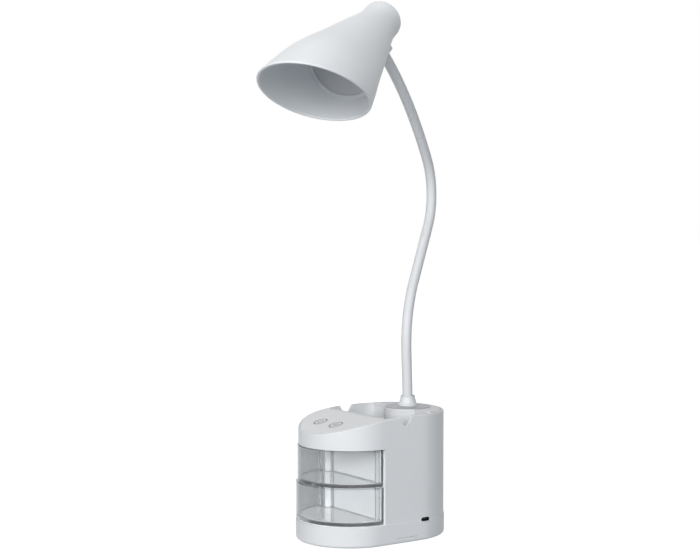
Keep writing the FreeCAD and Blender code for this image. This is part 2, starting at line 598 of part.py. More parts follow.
DECK_LOW = "sizes.top_height + sizes.deck_proud - sizes.deck_thick"
POCKET_LOW = "sizes.pocket_floor_top - sizes.pocket_floor_thick"
pen_pocket = cut("pen_pocket", inside("pen_room", "0", "-sizes.pocket_front", "sizes.pocket_rear",
                                      "sizes.pocket_floor_top", SKY),
                 neck_rod("bulge", "sizes.bulge_radius", "0", SKY), niche_walls)
pen_pocket_round = rounded("pen_pocket_round", pen_pocket, "sizes.pocket_round",
                           lambda e: at_height(e, size("pocket_floor_top")) and e.Length > 8)
rear_screw_bosses = fuse("rear_screw_bosses", *[b for b in bosses[2:]])
SERVICE_FRONT = "sizes.shell_wall - sizes.bay_back"
service = cut("service_room", fuse(
    "service_spaces", inside("service_space", "0", SERVICE_FRONT, REACH, BAY_FLOOR, POCKET_LOW),
    inside("lip_space", "sizes.housing_inset * 2", SERVICE_FRONT, REACH, PLUG_LOW + " - 1", POCKET_LOW)),
    niche_walls, rear_screw_bosses)
REAR_FRONT = "sizes.pocket_rear + sizes.pocket_rear_wall"
rear_room = cut("rear_room", fuse(
    "rear_spaces",
    inside("rear_space", "0", REAR_FRONT, REACH, POCKET_LOW + " - 1", DECK_LOW + " - 2.5"),
    neck_rod("bulge_space", "sizes.bulge_radius - sizes.pocket_rear_wall", POCKET_LOW + " - 1",
             DECK_LOW + " - 2.5"),
    inside("ledge_space", "sizes.deck_ledge", REAR_FRONT, REACH, DECK_LOW + " - 3", DECK_LOW + " + 1"),
    neck_rod("bulge_ledge_space", "sizes.bulge_radius - sizes.pocket_rear_wall - sizes.deck_ledge / 2",
             DECK_LOW + " - 3", DECK_LOW + " + 1")), rear_screw_bosses)
deck_seat = fuse("deck_seat", inside("deck_space", "0", "sizes.pocket_rear - 1", REACH, DECK_LOW, SKY),
                 neck_rod("deck_bulge_space", "sizes.bulge_radius + 1", DECK_LOW, SKY))
PANEL_R = HOUSING_R + " - sizes.panel_inset"
hood_room = dee_prism("hood_room", PANEL_R + " - sizes.panel_ledge", HOOD_CENTRE,
                      "-sizes.panel_back - sizes.panel_ledge", HOOD_FLOOR, SKY)
panel_seat = common("panel_seat", dee_prism("panel_room", PANEL_R, HOOD_CENTRE, "-sizes.panel_back",
                                            HOOD_FLOOR, SKY),
                    sky_over("panel_sky", "sizes.panel_thick"))


def notch(name):
    """A rounded V through both side walls, drawn in the YZ plane."""
    body = new_body(name)
    sketch = sketch_on(body, name + "_profile", "YZ_Plane")
    y, low, r = size("notch_centre"), size("notch_bottom"), size("notch_round")
    half, top = size("notch_top_half"), size("top_height") + 1
    centre = Vector(y, low + r, 0)
    rim = Vector(y + half, top, 0)
    away = rim - centre
    lean = math.atan2(away.y, away.x) - math.acos(r / away.Length)
    touch = centre + Vector(r * math.cos(lean), r * math.sin(lean), 0)
    mirror = Vector(2 * y - touch.x, touch.y, 0)
    other_rim = Vector(2 * y - rim.x, rim.y, 0)
    sketch.addGeometry(Part.ArcOfCircle(Part.Circle(centre, Vector(0, 0, 1), r), math.pi - lean,
                                        2 * math.pi + lean))
    sketch.addGeometry(Part.LineSegment(touch, rim))
    sketch.addGeometry(Part.LineSegment(rim, other_rim))
    sketch.addGeometry(Part.LineSegment(other_rim, mirror))
    sketch.addConstraint(Sketcher.Constraint("Tangent", 0, 2, 1, 1))
    sketch.addConstraint(Sketcher.Constraint("Coincident", 1, 2, 2, 1))
    sketch.addConstraint(Sketcher.Constraint("Coincident", 2, 2, 3, 1))
    sketch.addConstraint(Sketcher.Constraint("Tangent", 3, 2, 0, 1))
    sketch.addConstraint(Sketcher.Constraint("Horizontal", 2))
    constrain(sketch, "DistanceX", "middle", "sizes.notch_centre", -1, 1, 0, 3, y)
    constrain(sketch, "DistanceY", "bottom", "sizes.notch_bottom + sizes.notch_round", -1, 1, 0, 3, low + r)
    constrain(sketch, "Radius", "bottom_round", "sizes.notch_round", 0, r)
    constrain(sketch, "DistanceX", "rear_rim", "sizes.notch_centre + sizes.notch_top_half", -1, 1, 1, 2,
              rim.x)
    constrain(sketch, "DistanceX", "rim_width", "2 * sizes.notch_top_half", 2, 2, 2, 1, 2 * half)
    constrain(sketch, "DistanceY", "rim", "sizes.top_height + 1", -1, 1, 1, 2, top)
    feature = pad(body, sketch, name + "_pad", "2 * (%s)" % FAR)
    feature.Midplane = True
    doc.recompute()
    return body


pilots = [rod("pilot_%d" % i, "sizes.screw_radius", x, y, "0", BAY_FLOOR + " - 0.5") for i,
          (x, y) in enumerate(SCREWS)]
post_sockets = rod("post_sockets", "sizes.post_radius", POST[0], POST[1],
                   BAY_FLOOR + " - sizes.post_socket", "sizes.bay_ceiling + sizes.post_socket")
housing_cut = cut("housing_cut", housing_solid, bay, pen_pocket_round, service, rear_room, deck_seat,
                  hood_room, panel_seat,
                  notch("side_notches"), window, post_sockets, *pilots)
node("housing", housing_cut)

# ------------------------------------------------ deck_cap, neck_flange, collar and their fasteners
DECK_TOP = "sizes.top_height + sizes.deck_proud"
DISC_LOW = DECK_TOP + " - sizes.disc_sink"
deck_blank = fuse("deck_blank", inside("deck_plan", "sizes.deck_gap", "sizes.pocket_rear", REACH, DECK_LOW,
                                       DECK_TOP),
                  neck_rod("deck_bulge", "sizes.bulge_radius", DECK_LOW, DECK_TOP))
deck_round = rounded("deck_round", deck_blank, "sizes.deck_round",
                     lambda e: at_height(e, size("top_height") + size("deck_proud")))
node("deck_cap", cut("deck_cap_cut", deck_round,
                     neck_rod("disc_seat", "sizes.disc_radius + 0.1", DISC_LOW, SKY),
                     neck_rod("stud_hole", "sizes.stud_radius + sizes.stud_play", "0", SKY)))


def turned(name, points, place=None, spline=()):
    """A body of revolution about Z from (radius, height) points; one curve joins the points in spline."""
    edges = []
    for i, (a, b) in enumerate(zip(points, points[1:] + points[:1])):
        if i in spline:
            if i == spline[0]:
                curve = Part.BSplineCurve()
                curve.interpolate([Vector(r, 0, z) for r, z in points[spline[0]:spline[-1] + 2]])
                edges.append(curve.toShape())
        elif Vector(*a).distanceToPoint(Vector(*b)) > 1e-9:
            edges.append(Part.makeLine(Vector(a[0], 0, a[1]), Vector(b[0], 0, b[1])))
    face = Part.Face(Part.Wire(edges))
    thing = doc.addObject("Part::Feature", name)
    thing.Shape = face.revolve(Vector(), Vector(0, 0, 1), 360)
    if place:
        thing.Placement = place
    return thing


NECK_FOOT = Vector(0, size("neck_offset"), 0)
deck_top = size("top_height") + size("deck_proud")
disc_low = deck_top - size("disc_sink")
disc_edge = disc_low + size("disc_edge_thick")
disc_top = disc_edge + size("disc_rise")
bore = size("stud_radius") + size("stud_play")
disc_r = size("disc_radius")
node("neck_flange", turned("neck_flange_disc", [
    (bore, disc_low), (disc_r, disc_low), (disc_r, disc_edge), (disc_r - 0.4, disc_edge + 0.25),
    (disc_r * 0.7, disc_edge + size("disc_rise") * 0.72), (size("collar_foot_radius"),
                                                           disc_top), (bore, disc_top)],
    Placement(NECK_FOOT, Rotation()), spline=(3, 4)))
stud_top = disc_top + size("stud_rise")
foot_r, top_r, neck_r = size("collar_foot_radius"), size("collar_top_radius"), size("neck_radius")
collar_top = disc_top + size("collar_height")
lip = size("collar_lip")
collar_in = neck_r + size("collar_play")
node("neck_collar", turned("collar_cone", [
    (bore, disc_top), (foot_r, disc_top), (foot_r, disc_top + lip), (foot_r - 0.9, disc_top + 1.9 * lip),
    ((foot_r + top_r) / 2 - 0.5, (disc_top +
                                  collar_top) / 2), (top_r, collar_top - lip), (top_r + 0.15,
                                                                                collar_top - lip / 2),
    (top_r - 0.2, collar_top), (collar_in, collar_top), (collar_in, stud_top), (bore, stud_top)],
    Placement(NECK_FOOT, Rotation()), spline=(3, 4)))
stud_low = deck_top - size("stud_drop")
node("neck_stud", cut("neck_stud_cut", neck_rod("stud_rod", "sizes.stud_radius", str(stud_low),
                                                str(stud_top)),
                      neck_rod("stud_lead_hole", "sizes.stud_bore", "0", SKY)))
washer_low = size("top_height") + size("deck_proud") - size("deck_thick") - size("washer_thick")
node("neck_washer", cut("neck_washer_cut", neck_rod("washer_disc", "sizes.washer_radius", str(washer_low),
                                                    DECK_LOW),
                        neck_rod("washer_hole", "sizes.stud_radius + 2 * sizes.stud_play", "0", SKY)))
nut = doc.addObject("Part::Prism", "nut_hexagon")
nut.Polygon = 6
bind(nut, Circumradius="sizes.nut_radius", Height="sizes.nut_thick", Placement__Base__y="sizes.neck_offset",
     Placement__Base__z=str(washer_low) + " - sizes.nut_thick")
node("neck_nut", cut("neck_nut_cut", nut, neck_rod("nut_bore", "sizes.stud_radius", "0", SKY)))

# ------------------------------------------------ gooseneck: one firm stub and five moving stretches
yaw = math.radians(size("neck_yaw"))
FORWARD = Vector(math.sin(yaw), -math.cos(yaw), 0)
SIDE = Vector(math.cos(yaw), math.sin(yaw), 0)
UP = Vector(0, 0, 1)


def in_plane(forward, height):
    """A point of the neck's plane, from its distance forward of the foot and its height."""
    return NECK_FOOT + FORWARD * forward + UP * height


def neck_runs():
    """The centre line's runs: (length, turn per length) from the foot to the head."""
    return [(size("neck_rise"), 0),
            (size("neck_back_radius") * math.radians(size("neck_back_turn")),
             -1 / size("neck_back_radius")),
            (size("neck_middle"), 0),
            (size("neck_front_radius") * math.radians(size("neck_front_turn")),
             1 / size("neck_front_radius")),
            (size("neck_upper_radius") * math.radians(size("neck_upper_turn")),
             1 / size("neck_upper_radius")),
            (size("neck_end"), 0)]


def step(state, length, bend):
    """Move (forward, height, lean) along a run of constant bend."""
    x, z, lean = state
    if bend == 0:
        return x + length * math.sin(lean), z + length * math.cos(lean), lean
    radius, end = 1 / bend, lean + length * bend
    return x + radius * (math.cos(lean) - math.cos(end)), z + radius * (math.sin(end) - math.sin(lean)), end


NECK_START = (0.0, stud_top + size("neck_seat_play"), math.radians(size("neck_lean")))
NECK_LENGTH = sum(length for length, bend in neck_runs())


def station(distance):
    """The place and lean of the centre line at a distance from the foot."""
    state, left = NECK_START, distance
    for length, bend in neck_runs():
        if left <= length:
            return step(state, left, bend)
        state = step(state, length, bend)
        left -= length
    return state


def stretch_wire(start, end):
    """The centre line between two distances, as lines and arcs."""
    cuts, total = [start], 0
    for length, bend in neck_runs():
        total += length
        if start + 1e-6 < total < end - 1e-6:
            cuts.append(total)
    cuts.append(end)
    edges = []
    for a, b in zip(cuts, cuts[1:]):
        p, m, q = [in_plane(*station(d)[:2]) for d in (a, (a + b) / 2, b)]
        straight = (q - p).Length > b - a - 1e-6
        edges.append(Part.makeLine(p, q) if straight else Part.Arc(p, m, q).toShape())
    return Part.Wire(edges)


def tube(start, end, radius):
    """A round bar of a radius along the centre line."""
    x, z, lean = station(start)
    along = FORWARD * math.sin(lean) + UP * math.cos(lean)
    ring = Part.Wire(Part.makeCircle(radius, in_plane(x, z), along))
    return stretch_wire(start, end).makePipeShell([ring], True, True)


JOINTS = [size("link_first") + i * size("link_length") for i in range(5)]
ENDS = [0] + JOINTS + [NECK_LENGTH]
link_shapes = []
for i, (start, end) in enumerate(zip(ENDS, ENDS[1:])):
    bar = tube(start, end, neck_r)
    if i < len(JOINTS):
        bar = bar.fuse(Part.makeSphere(neck_r, in_plane(*station(end)[:2])))
    if i > 0:
        bar = bar.cut(Part.makeSphere(neck_r + size("link_gap"), in_plane(*station(start)[:2])))
    link_shapes.append(bar.removeSplitter())
for i, shape in enumerate(link_shapes, start=1):
    link = doc.addObject("Part::Feature", "neck_link_%d_bar" % i)
    link.Shape = shape
    node("neck_link_%d" % i, link)

# ------------------------------------------------ lamp head, built along its axis from the rear end
dip = math.radians(size("head_dip"))
HEAD_AXIS = FORWARD * math.cos(dip) - UP * math.sin(dip)
HEAD_UP = FORWARD * math.sin(dip) + UP * math.cos(dip)
NECK_TIP = in_plane(*station(NECK_LENGTH)[:2])
HEAD_REAR = NECK_TIP - HEAD_AXIS * size("head_back") + HEAD_UP * size("head_over")
HEAD = Placement(HEAD_REAR, Rotation(HEAD_UP, -SIDE, HEAD_AXIS, "ZXY"))
PROFILE = [(size("shade_rear_radius"), size("shade_end_round"))] + [
    (size("shade_%s_radius" % place), size("shade_%s_station" % place))
    for place in ("waist", "neck", "flank", "mid", "front", "rim")]
mouth_tilt = math.radians(size("mouth_dip") - size("head_dip"))
rim_rise = size("shade_rim_radius") * math.tan(mouth_tilt)
TAIL = size("mouth_station") + rim_rise * (1 + size("shade_flare")) + 2 * size("shade_wall")


def shade_curve(inset):
    """The shade's outer line, moved inwards by an inset."""
    curve = Part.BSplineCurve()
    tail = (PROFILE[-1][0] + (TAIL - PROFILE[-1][1]) * size("shade_flare"), TAIL)
    curve.interpolate([Vector(r - inset, 0, z) for r, z in PROFILE + [tail]])
    return curve


def shade_radius(inset, place):
    """The shade's radius at a place on its axis."""
    line = Part.makeLine(Vector(0, 0, place), Vector(TAIL, 0, place))
    return shade_curve(inset).toShape().distToShape(line)[1][0][0].x


def shade_solid(name, inset, end_round):
    """The closed form of the shade, whole to its open end, from a rounded rear end."""
    curve = shade_curve(inset).toShape()
    start, stop = curve.Vertexes[0].Point, curve.Vertexes[-1].Point
    centre = Vector(start.x - end_round, 0, start.z)
    turn = math.pi / 4
    corner = Part.Arc(start, centre + Vector(end_round * math.cos(turn), 0, -end_round * math.sin(turn)),
                      centre + Vector(0, 0, -end_round)).toShape()
    floor = Vector(0, 0, start.z - end_round)
    edges = [curve, corner, Part.makeLine(centre + Vector(0, 0, -end_round), floor),
             Part.makeLine(floor, Vector(0, 0, stop.z)), Part.makeLine(Vector(0, 0, stop.z), stop)]
    thing = doc.addObject("Part::Feature", name)
    thing.Shape = Part.Face(Part.Wire(Part.__sortEdges__(edges))).revolve(Vector(), UP, 360)
    return thing


mouth_point = Vector(0, 0, size("mouth_station"))
MOUTH_NORMAL = Vector(-math.sin(mouth_tilt), 0, math.cos(mouth_tilt))
half_space = Part.makeBox(4 * TAIL, 4 * TAIL, TAIL, Vector(-2 * TAIL, -2 * TAIL, 0))
half_space.Placement = Placement(mouth_point, Rotation(UP, MOUTH_NORMAL))
mouth_cut = doc.addObject("Part::Feature", "mouth_cut")
mouth_cut.Shape = half_space
shade_outer = shade_solid("shade_outer", 0, size("shade_end_round"))
shade_inner = shade_solid("shade_inner", size("shade_wall"), size("shade_end_round") - size("shade_wall"))
shade_cut = cut("shade_cut", shade_outer, shade_inner, mouth_cut)


def on_mouth(edge):
    """True for an edge that lies in the mouth's plane."""
    spots = [edge.valueAt(edge.FirstParameter + k * (edge.LastParameter - edge.FirstParameter) / 4)
             for k in range(5)]
    return all(abs((spot - mouth_point).dot(MOUTH_NORMAL)) < 1e-3 for spot in spots)


shade_rounded = rounded("shade_rim", shade_cut, "sizes.shade_wall * 0.35", on_mouth)


def in_head(name, source):
    """A piece that was built along Z from the shade's rear end, put in its place in the head."""
    thing = doc.addObject("Part::Feature", name)
    thing.Shape = source.Shape
    thing.Placement = HEAD
    return thing


end_lean = station(NECK_LENGTH)[2]
ALONG = FORWARD * math.sin(end_lean) + UP * math.cos(end_lean)


def neck_end_rod(name, radius):
    """A cylinder along the neck's last stretch, from well outside the shade to the neck's end."""
    thing = doc.addObject("Part::Cylinder", name)
    bind(thing, Radius=radius, Height="2 * sizes.head_over")
    thing.Placement = Placement(NECK_TIP - ALONG * 2 * size("head_over"), Rotation(UP, ALONG))
    return thing


sleeve_radius = "sizes.neck_radius + sizes.socket_play + sizes.socket_wall"
head_outer = in_head("head_outer", shade_outer)
stub_skin = in_head("stub_skin", shade_solid("stub_form", -size("socket_proud"), size("shade_end_round")))
stub_ring = cut("stub_ring", neck_end_rod("stub_rod", "sizes.socket_radius"), head_outer)
socket_solid = common("socket_solid", fuse("socket_blank", stub_ring,
                                           neck_end_rod("sleeve_rod", sleeve_radius)), stub_skin)
node("neck_socket", cut("neck_socket_cut", socket_solid,
                        neck_end_rod("socket_bore", "sizes.neck_radius + sizes.socket_play")))
node("shade", cut("shade_drilled", in_head("shade_placed", shade_rounded),
                  neck_end_rod("sleeve_hole", sleeve_radius + " + sizes.socket_play")))

inner = size("shade_wall") + 0.05


def seated_disc(name, place, thick, hole=0.0):
    """A disc whose rim follows the inside of the shade."""
    r0, r1 = shade_radius(inner, place), shade_radius(inner, place + thick)
    return turned(name, [(hole, place), (r0, place), (r1, place + thick), (hole, place + thick)], HEAD)


lens_low = size("diffuser_station")
carrier_top = size("carrier_station") + size("carrier_thick")
board_front = carrier_top + size("board_thick")
LIGHT_SCREWS = [math.radians(90 + 120 * i) for i in range(3)]
light_screw_ring = size("light_board_radius") - size("light_screw_margin")


def head_rod(name, radius, angle, ring, start, end):
    """A cylinder along the shade's axis, at an angle and a radius from it."""
    thing = doc.addObject("Part::Cylinder", name)
    thing.Radius, thing.Height = radius, end - start
    thing.Placement = HEAD.multiply(Placement(Vector(ring * math.cos(angle), ring * math.sin(angle),
                                                     start), Rotation()))
    return thing


def screw_holes(name):
    return [head_rod("%s_%d" % (name, i), size("light_screw_radius"), angle, light_screw_ring, 0, lens_low)
            for i, angle in enumerate(LIGHT_SCREWS)]


node("light_carrier", cut("carrier_cut", seated_disc("carrier_disc", size("carrier_station"),
                                                     size("carrier_thick"), 3),
                          *screw_holes("carrier_hole")))
node("light_board", cut("light_board_cut", turned("light_board_disc", [
    (3, carrier_top), (size("light_board_radius"), carrier_top), (size("light_board_radius"),
                                                                  board_front), (3, board_front)],
    HEAD), *screw_holes("board_hole")))
chips = []
for i in range(int(size("chip_count"))):
    angle = 2 * math.pi * i / size("chip_count")
    chip = doc.addObject("Part::Box", "chip_%d" % i)
    bind(chip, Length="sizes.chip_size", Width="sizes.chip_size", Height="sizes.chip_thick")
    spot = Vector(size("chip_ring_radius") * math.cos(angle), size("chip_ring_radius") * math.sin(angle),
                  board_front)
    corner = Vector(-size("chip_size") / 2, -size("chip_size") / 2, 0)
    chip.Placement = HEAD.multiply(Placement(spot,
                                             Rotation(UP,
                                                      math.degrees(angle)))).multiply(Placement(corner,
                                                                                                Rotation()))
    chips.append(chip)


def group(name, things):
    """One node of several separate solids."""
    thing = doc.addObject("Part::Compound", name + "_group")
    thing.Links = things
    return node(name, thing)


group("light_chips", chips)
group("light_screws", [
    fuse("light_screw_%d" % i,
         head_rod("light_screw_head_%d" % i, size("light_screw_head"), angle, light_screw_ring,
                  board_front, board_front + size("light_screw_thick")),
         head_rod("light_screw_shank_%d" % i, size("light_screw_radius"), angle, light_screw_ring,
                  size("carrier_station") - size("carrier_thick"), board_front))
    for i, angle in enumerate(LIGHT_SCREWS)])
lens_r, lens_thick = size("diffuser_radius"), size("diffuser_thick")
face_low = lens_low + lens_thick
face_top = face_low + size("ring_face")
opening = lens_r - size("ring_lip")
rise = size("diffuser_rise")
node("diffuser", turned("diffuser_lens", [
    (0, lens_low), (lens_r, lens_low), (lens_r, face_low), (opening - 0.3, face_low),
    (opening * 0.55, face_low + rise * 0.77), (0, face_low + rise)], HEAD, spline=(3, 4)))
ring_rear = face_top - size("ring_thick")
node("diffuser_ring", turned("ring_turned", [
    (shade_radius(inner, ring_rear), ring_rear), (shade_radius(inner, face_top - 0.4), face_top - 0.4),
    (shade_radius(inner, face_top - 0.4) - 0.4, face_top), (opening + 0.4, face_top),
    (opening, face_top - 0.4), (opening, face_low),
    (lens_r + 0.05, face_low), (lens_r + 0.05, ring_rear)], HEAD))

# ------------------------------------------------ pivot_post, its washers and the two swinging trays
node("pivot_post", rod("pivot_rod", "sizes.post_radius", POST[0], POST[1],
                       BAY_FLOOR + " - sizes.post_socket", "sizes.bay_ceiling + sizes.post_socket"))
TRAY_BACK = "-sizes.bay_back - sizes.tray_back_gap"
TIP_PLAY = " + sizes.tray_end_play"
LOWER_Z = BAY_FLOOR + " + sizes.post_washer_thick" + TIP_PLAY
LOWER_TOP = LOWER_Z + " + sizes.lower_tray_height"
UPPER_Z = LOWER_TOP + " + sizes.post_washer_thick" + TIP_PLAY + TIP_PLAY
UPPER_TOP = UPPER_Z + " + sizes.upper_tray_height"
UPRIGHT_EDGE = 9    # a tray's corners are longer than this, its rounds shorter


def swing_tray(name, radius, centre, low, high):
    """A clear D-shaped tray with a hub in its rear left corner."""
    body = dee_prism(name + "_outer", radius, centre, TRAY_BACK, low, high)
    with_hub = fuse(name + "_with_hub", body, rod(name + "_hub", "(%s) - %s" % (radius, POST_X), POST[0],
                                                  POST[1], low, high))
    r, floor = float(sheet.evalExpression(radius)), float(sheet.evalExpression(low))
    back = -size("bay_back") - size("tray_back_gap")
    corner = rounded(name + "_corner", with_hub, "sizes.tray_corner",
                     lambda e: e.BoundBox.XMin > r - 0.01 and e.BoundBox.YMax > back - 0.01 and
                     e.BoundBox.ZLength > UPRIGHT_EDGE)
    edge = rounded(name + "_edge", corner, "sizes.tray_edge_round", lambda e: at_height(e, floor) and
                   e.BoundBox.YMin < -size("post_y") - 5)
    room = dee_prism(name + "_room", "(%s) - sizes.tray_wall" % radius, centre,
                     TRAY_BACK + " - sizes.tray_wall",
                     "(%s) + sizes.tray_base" % low, "(%s) + 1" % high)
    room_cut = cut(name + "_room_cut", room, rod(name + "_hub_wall", "(%s) - %s" % (radius, POST_X),
                                                 POST[0], POST[1], low, SKY))
    room_low = floor + size("tray_base")
    room_sides = rounded(name + "_room_sides", room_cut, "sizes.tray_wall",
                         lambda e: e.BoundBox.ZLength > UPRIGHT_EDGE)
    room_round = rounded(name + "_room_round", room_sides, "sizes.tray_inner_round",
                         lambda e: at_height(e, room_low))
    return cut(name + "_cut", edge, room_round,
               rod(name + "_bore", "sizes.post_radius + sizes.post_play", POST[0], POST[1], "0", SKY))


node("drawer_lower", swing_tray("drawer_lower", LOWER_R, END, LOWER_Z, LOWER_TOP))
node("drawer_upper", swing_tray("drawer_upper", UPPER_R, END + " - sizes.upper_tray_setback", UPPER_Z,
                                UPPER_TOP))
washers = []
for i, low in enumerate((BAY_FLOOR, LOWER_TOP + TIP_PLAY, "sizes.bay_ceiling - sizes.post_washer_thick")):
    washers.append(cut("post_washer_%d" % i,
                       rod("post_washer_disc_%d" % i, "sizes.post_washer_radius", POST[0], POST[1], low,
                           low + " + sizes.post_washer_thick"),
                       rod("post_washer_hole_%d" % i, "sizes.post_radius", POST[0], POST[1], "0", SKY)))
group("post_washers", washers)

# ---------------------------------------------------------------- touch_panel and touch_board
panel_band = cut("panel_band", sky_over("panel_low", "sizes.panel_thick"), sky_over("panel_high", "0"))
panel_plan = dee_prism("panel_plan", PANEL_R + " - sizes.panel_gap", HOOD_CENTRE,
                       "-sizes.panel_back - sizes.panel_gap", HOOD_FLOOR, SKY)
node("touch_panel", common("touch_panel_cut", panel_band, panel_plan))
fall = size("top_curve_radius") - size("panel_thick")
slope = math.asin((size("touch_centre") + size("top_curve_start")) / fall)
board_reach = math.sqrt(fall ** 2 - (size("touch_board_depth") / 2) ** 2) - 0.02
board_normal = Vector(0, -math.sin(slope), math.cos(slope))
fall_centre = Vector(0, size("top_curve_start"), size("top_height") - size("top_curve_radius"))
touch_board = doc.addObject("Part::Box", "touch_board_plate")
bind(touch_board, Length="sizes.touch_board_width", Width="sizes.touch_board_depth",
     Height="sizes.board_thick")
touch_turn = Rotation(Vector(1, 0, 0), math.degrees(slope))
touch_board.Placement = Placement(fall_centre + board_normal * (board_reach - size("board_thick")),
                                  touch_turn).multiply(
    Placement(Vector(-size("touch_board_width") / 2, -size("touch_board_depth") / 2, 0), Rotation()))
node("touch_board", touch_board)

# ---------------------------------------------------------------- battery_pack, main_board and charging port
cell = box("battery_block", "-sizes.battery_x - sizes.battery_length / 2",
           "sizes.battery_length / 2 - sizes.battery_x",
           "sizes.battery_y - sizes.battery_width / 2", "sizes.battery_y + sizes.battery_width / 2",
           "sizes.foot_proud + sizes.cover_thick",
           "sizes.foot_proud + sizes.cover_thick + sizes.battery_thick")
node("battery_pack", rounded("battery_round", cell, "sizes.battery_round",
                             lambda e: e.BoundBox.XLength > size("battery_length") - 1))
BOARD_RIGHT = HOUSING_IN + " - sizes.main_board_gap"
node("main_board", box("main_board_plate", BOARD_RIGHT + " - sizes.main_board_length", BOARD_RIGHT,
                       "sizes.port_y - sizes.main_board_front", "sizes.port_y + sizes.main_board_rear",
                       BOARD_LOW, BOARD_TOP))
PORT_FACE = "sizes.base_radius - sizes.shell_wall / 3"
port_block = box("port_block", PORT_FACE + " - sizes.port_shell_depth", PORT_FACE,
                 "sizes.port_y - sizes.port_shell_width / 2", "sizes.port_y + sizes.port_shell_width / 2",
                 BOARD_TOP, BOARD_TOP + " + sizes.port_shell_height")
port_hollow = box("port_hollow", PORT_FACE + " - sizes.port_shell_depth + 1", FAR,
                  "sizes.port_y - sizes.port_shell_width / 2 + sizes.port_shell_wall",
                  "sizes.port_y + sizes.port_shell_width / 2 - sizes.port_shell_wall",
                  BOARD_TOP + " + sizes.port_shell_wall",
                  BOARD_TOP + " + sizes.port_shell_height - sizes.port_shell_wall")
port_tongue = box("port_tongue", PORT_FACE + " - sizes.port_shell_depth + 0.5", PORT_FACE + " - 1",
                  "sizes.port_y - sizes.port_shell_width / 4", "sizes.port_y + sizes.port_shell_width / 4",
                  BOARD_TOP + " + 1.4", BOARD_TOP + " + 2")
port_round = rounded("port_round", port_block, "sizes.port_shell_round", lambda e: e.BoundBox.XLength > 3)
port_room = rounded("port_room", port_hollow, "sizes.port_shell_round - sizes.port_shell_wall",
                    lambda e: e.BoundBox.XLength > 3)
node("charging_port", fuse("charging_port_shell", cut("port_cut", port_round, port_room), port_tongue))

# ---------------------------------------------------------------- feet and screws
group("rubber_feet", [rod("foot_%d" % i, "sizes.foot_radius", x, y, "0", "sizes.foot_thick")
                      for i, (x, y) in enumerate(FEET + [("0", "0")])])


def screw(name, x, y, head_low, head_high, shank_top, head_radius, shank_radius):
    return fuse(name, rod(name + "_head", head_radius, x, y, head_low, head_high),
                rod(name + "_shank", shank_radius, x, y, head_high, shank_top))


group("case_screws", [screw("case_screw_%d" % i, x, y, "sizes.foot_proud + 0.2",
                            "sizes.foot_proud + sizes.screw_head_thick",
                            BAY_FLOOR + " - 0.7", "sizes.screw_head_radius", "sizes.screw_radius")
                      for i, (x, y) in enumerate(SCREWS)])
group("cover_screws", [screw("cover_screw_%d" % i, x, y, "sizes.foot_proud + 0.1", "sizes.foot_proud + 0.9",
                             FLOOR + " + 3.5", "sizes.cover_screw_radius * 2", "sizes.cover_screw_radius")
                       for i, (x, y) in enumerate(COVER_SCREWS)])

# ---------------------------------------------------------------- checks and files
doc.recompute()
for thing in doc.Objects:
    if "Invalid" in thing.State or "Error" in thing.State:
        raise ValueError("%s failed: %s" % (thing.Name, thing.State))
os.makedirs("parts", exist_ok=True)
for name, thing in PARTS:
    shape = thing.Shape
    if shape.isNull() or not shape.isValid() or not shape.Solids:
        raise ValueError("%s has no valid solid" % name)
    print("%-16s %2d solid %9.1f mm3" % (name, len(shape.Solids), shape.Volume))
    shape.exportStep("parts/%s.step" % name)
print("%d nodes" % len(PARTS))
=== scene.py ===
import math

import bmesh
import bpy
from mathutils import Matrix, Vector
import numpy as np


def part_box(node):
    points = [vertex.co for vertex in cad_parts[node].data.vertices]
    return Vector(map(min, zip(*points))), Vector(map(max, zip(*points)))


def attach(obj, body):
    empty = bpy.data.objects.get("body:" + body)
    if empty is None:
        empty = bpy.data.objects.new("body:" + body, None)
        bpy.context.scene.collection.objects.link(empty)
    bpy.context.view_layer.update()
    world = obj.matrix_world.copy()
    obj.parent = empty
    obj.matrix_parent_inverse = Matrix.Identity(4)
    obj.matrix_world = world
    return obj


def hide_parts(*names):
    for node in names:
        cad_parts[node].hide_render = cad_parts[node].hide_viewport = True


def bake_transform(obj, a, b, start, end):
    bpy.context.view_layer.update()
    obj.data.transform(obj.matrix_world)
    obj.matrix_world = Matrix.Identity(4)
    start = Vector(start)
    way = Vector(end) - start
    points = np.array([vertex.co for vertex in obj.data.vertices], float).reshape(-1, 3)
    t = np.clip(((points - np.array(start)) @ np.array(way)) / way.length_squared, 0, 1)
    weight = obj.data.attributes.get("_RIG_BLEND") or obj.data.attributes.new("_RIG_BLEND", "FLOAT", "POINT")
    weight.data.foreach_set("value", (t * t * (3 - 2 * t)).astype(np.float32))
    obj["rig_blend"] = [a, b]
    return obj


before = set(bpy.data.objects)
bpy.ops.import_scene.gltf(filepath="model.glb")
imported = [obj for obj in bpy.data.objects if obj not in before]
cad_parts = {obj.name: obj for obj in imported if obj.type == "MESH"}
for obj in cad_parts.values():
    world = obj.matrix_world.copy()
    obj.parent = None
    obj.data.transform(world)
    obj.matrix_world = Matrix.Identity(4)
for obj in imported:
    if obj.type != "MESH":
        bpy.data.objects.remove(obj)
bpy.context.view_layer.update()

# Camera.
# It stands to the right of the lamp's front, a little above the base, and looks level across it.


def add_object(name, data):
    """A new object of the scene that shows some data."""
    made = bpy.data.objects.new(name, data)
    bpy.context.scene.collection.objects.link(made)
    return made


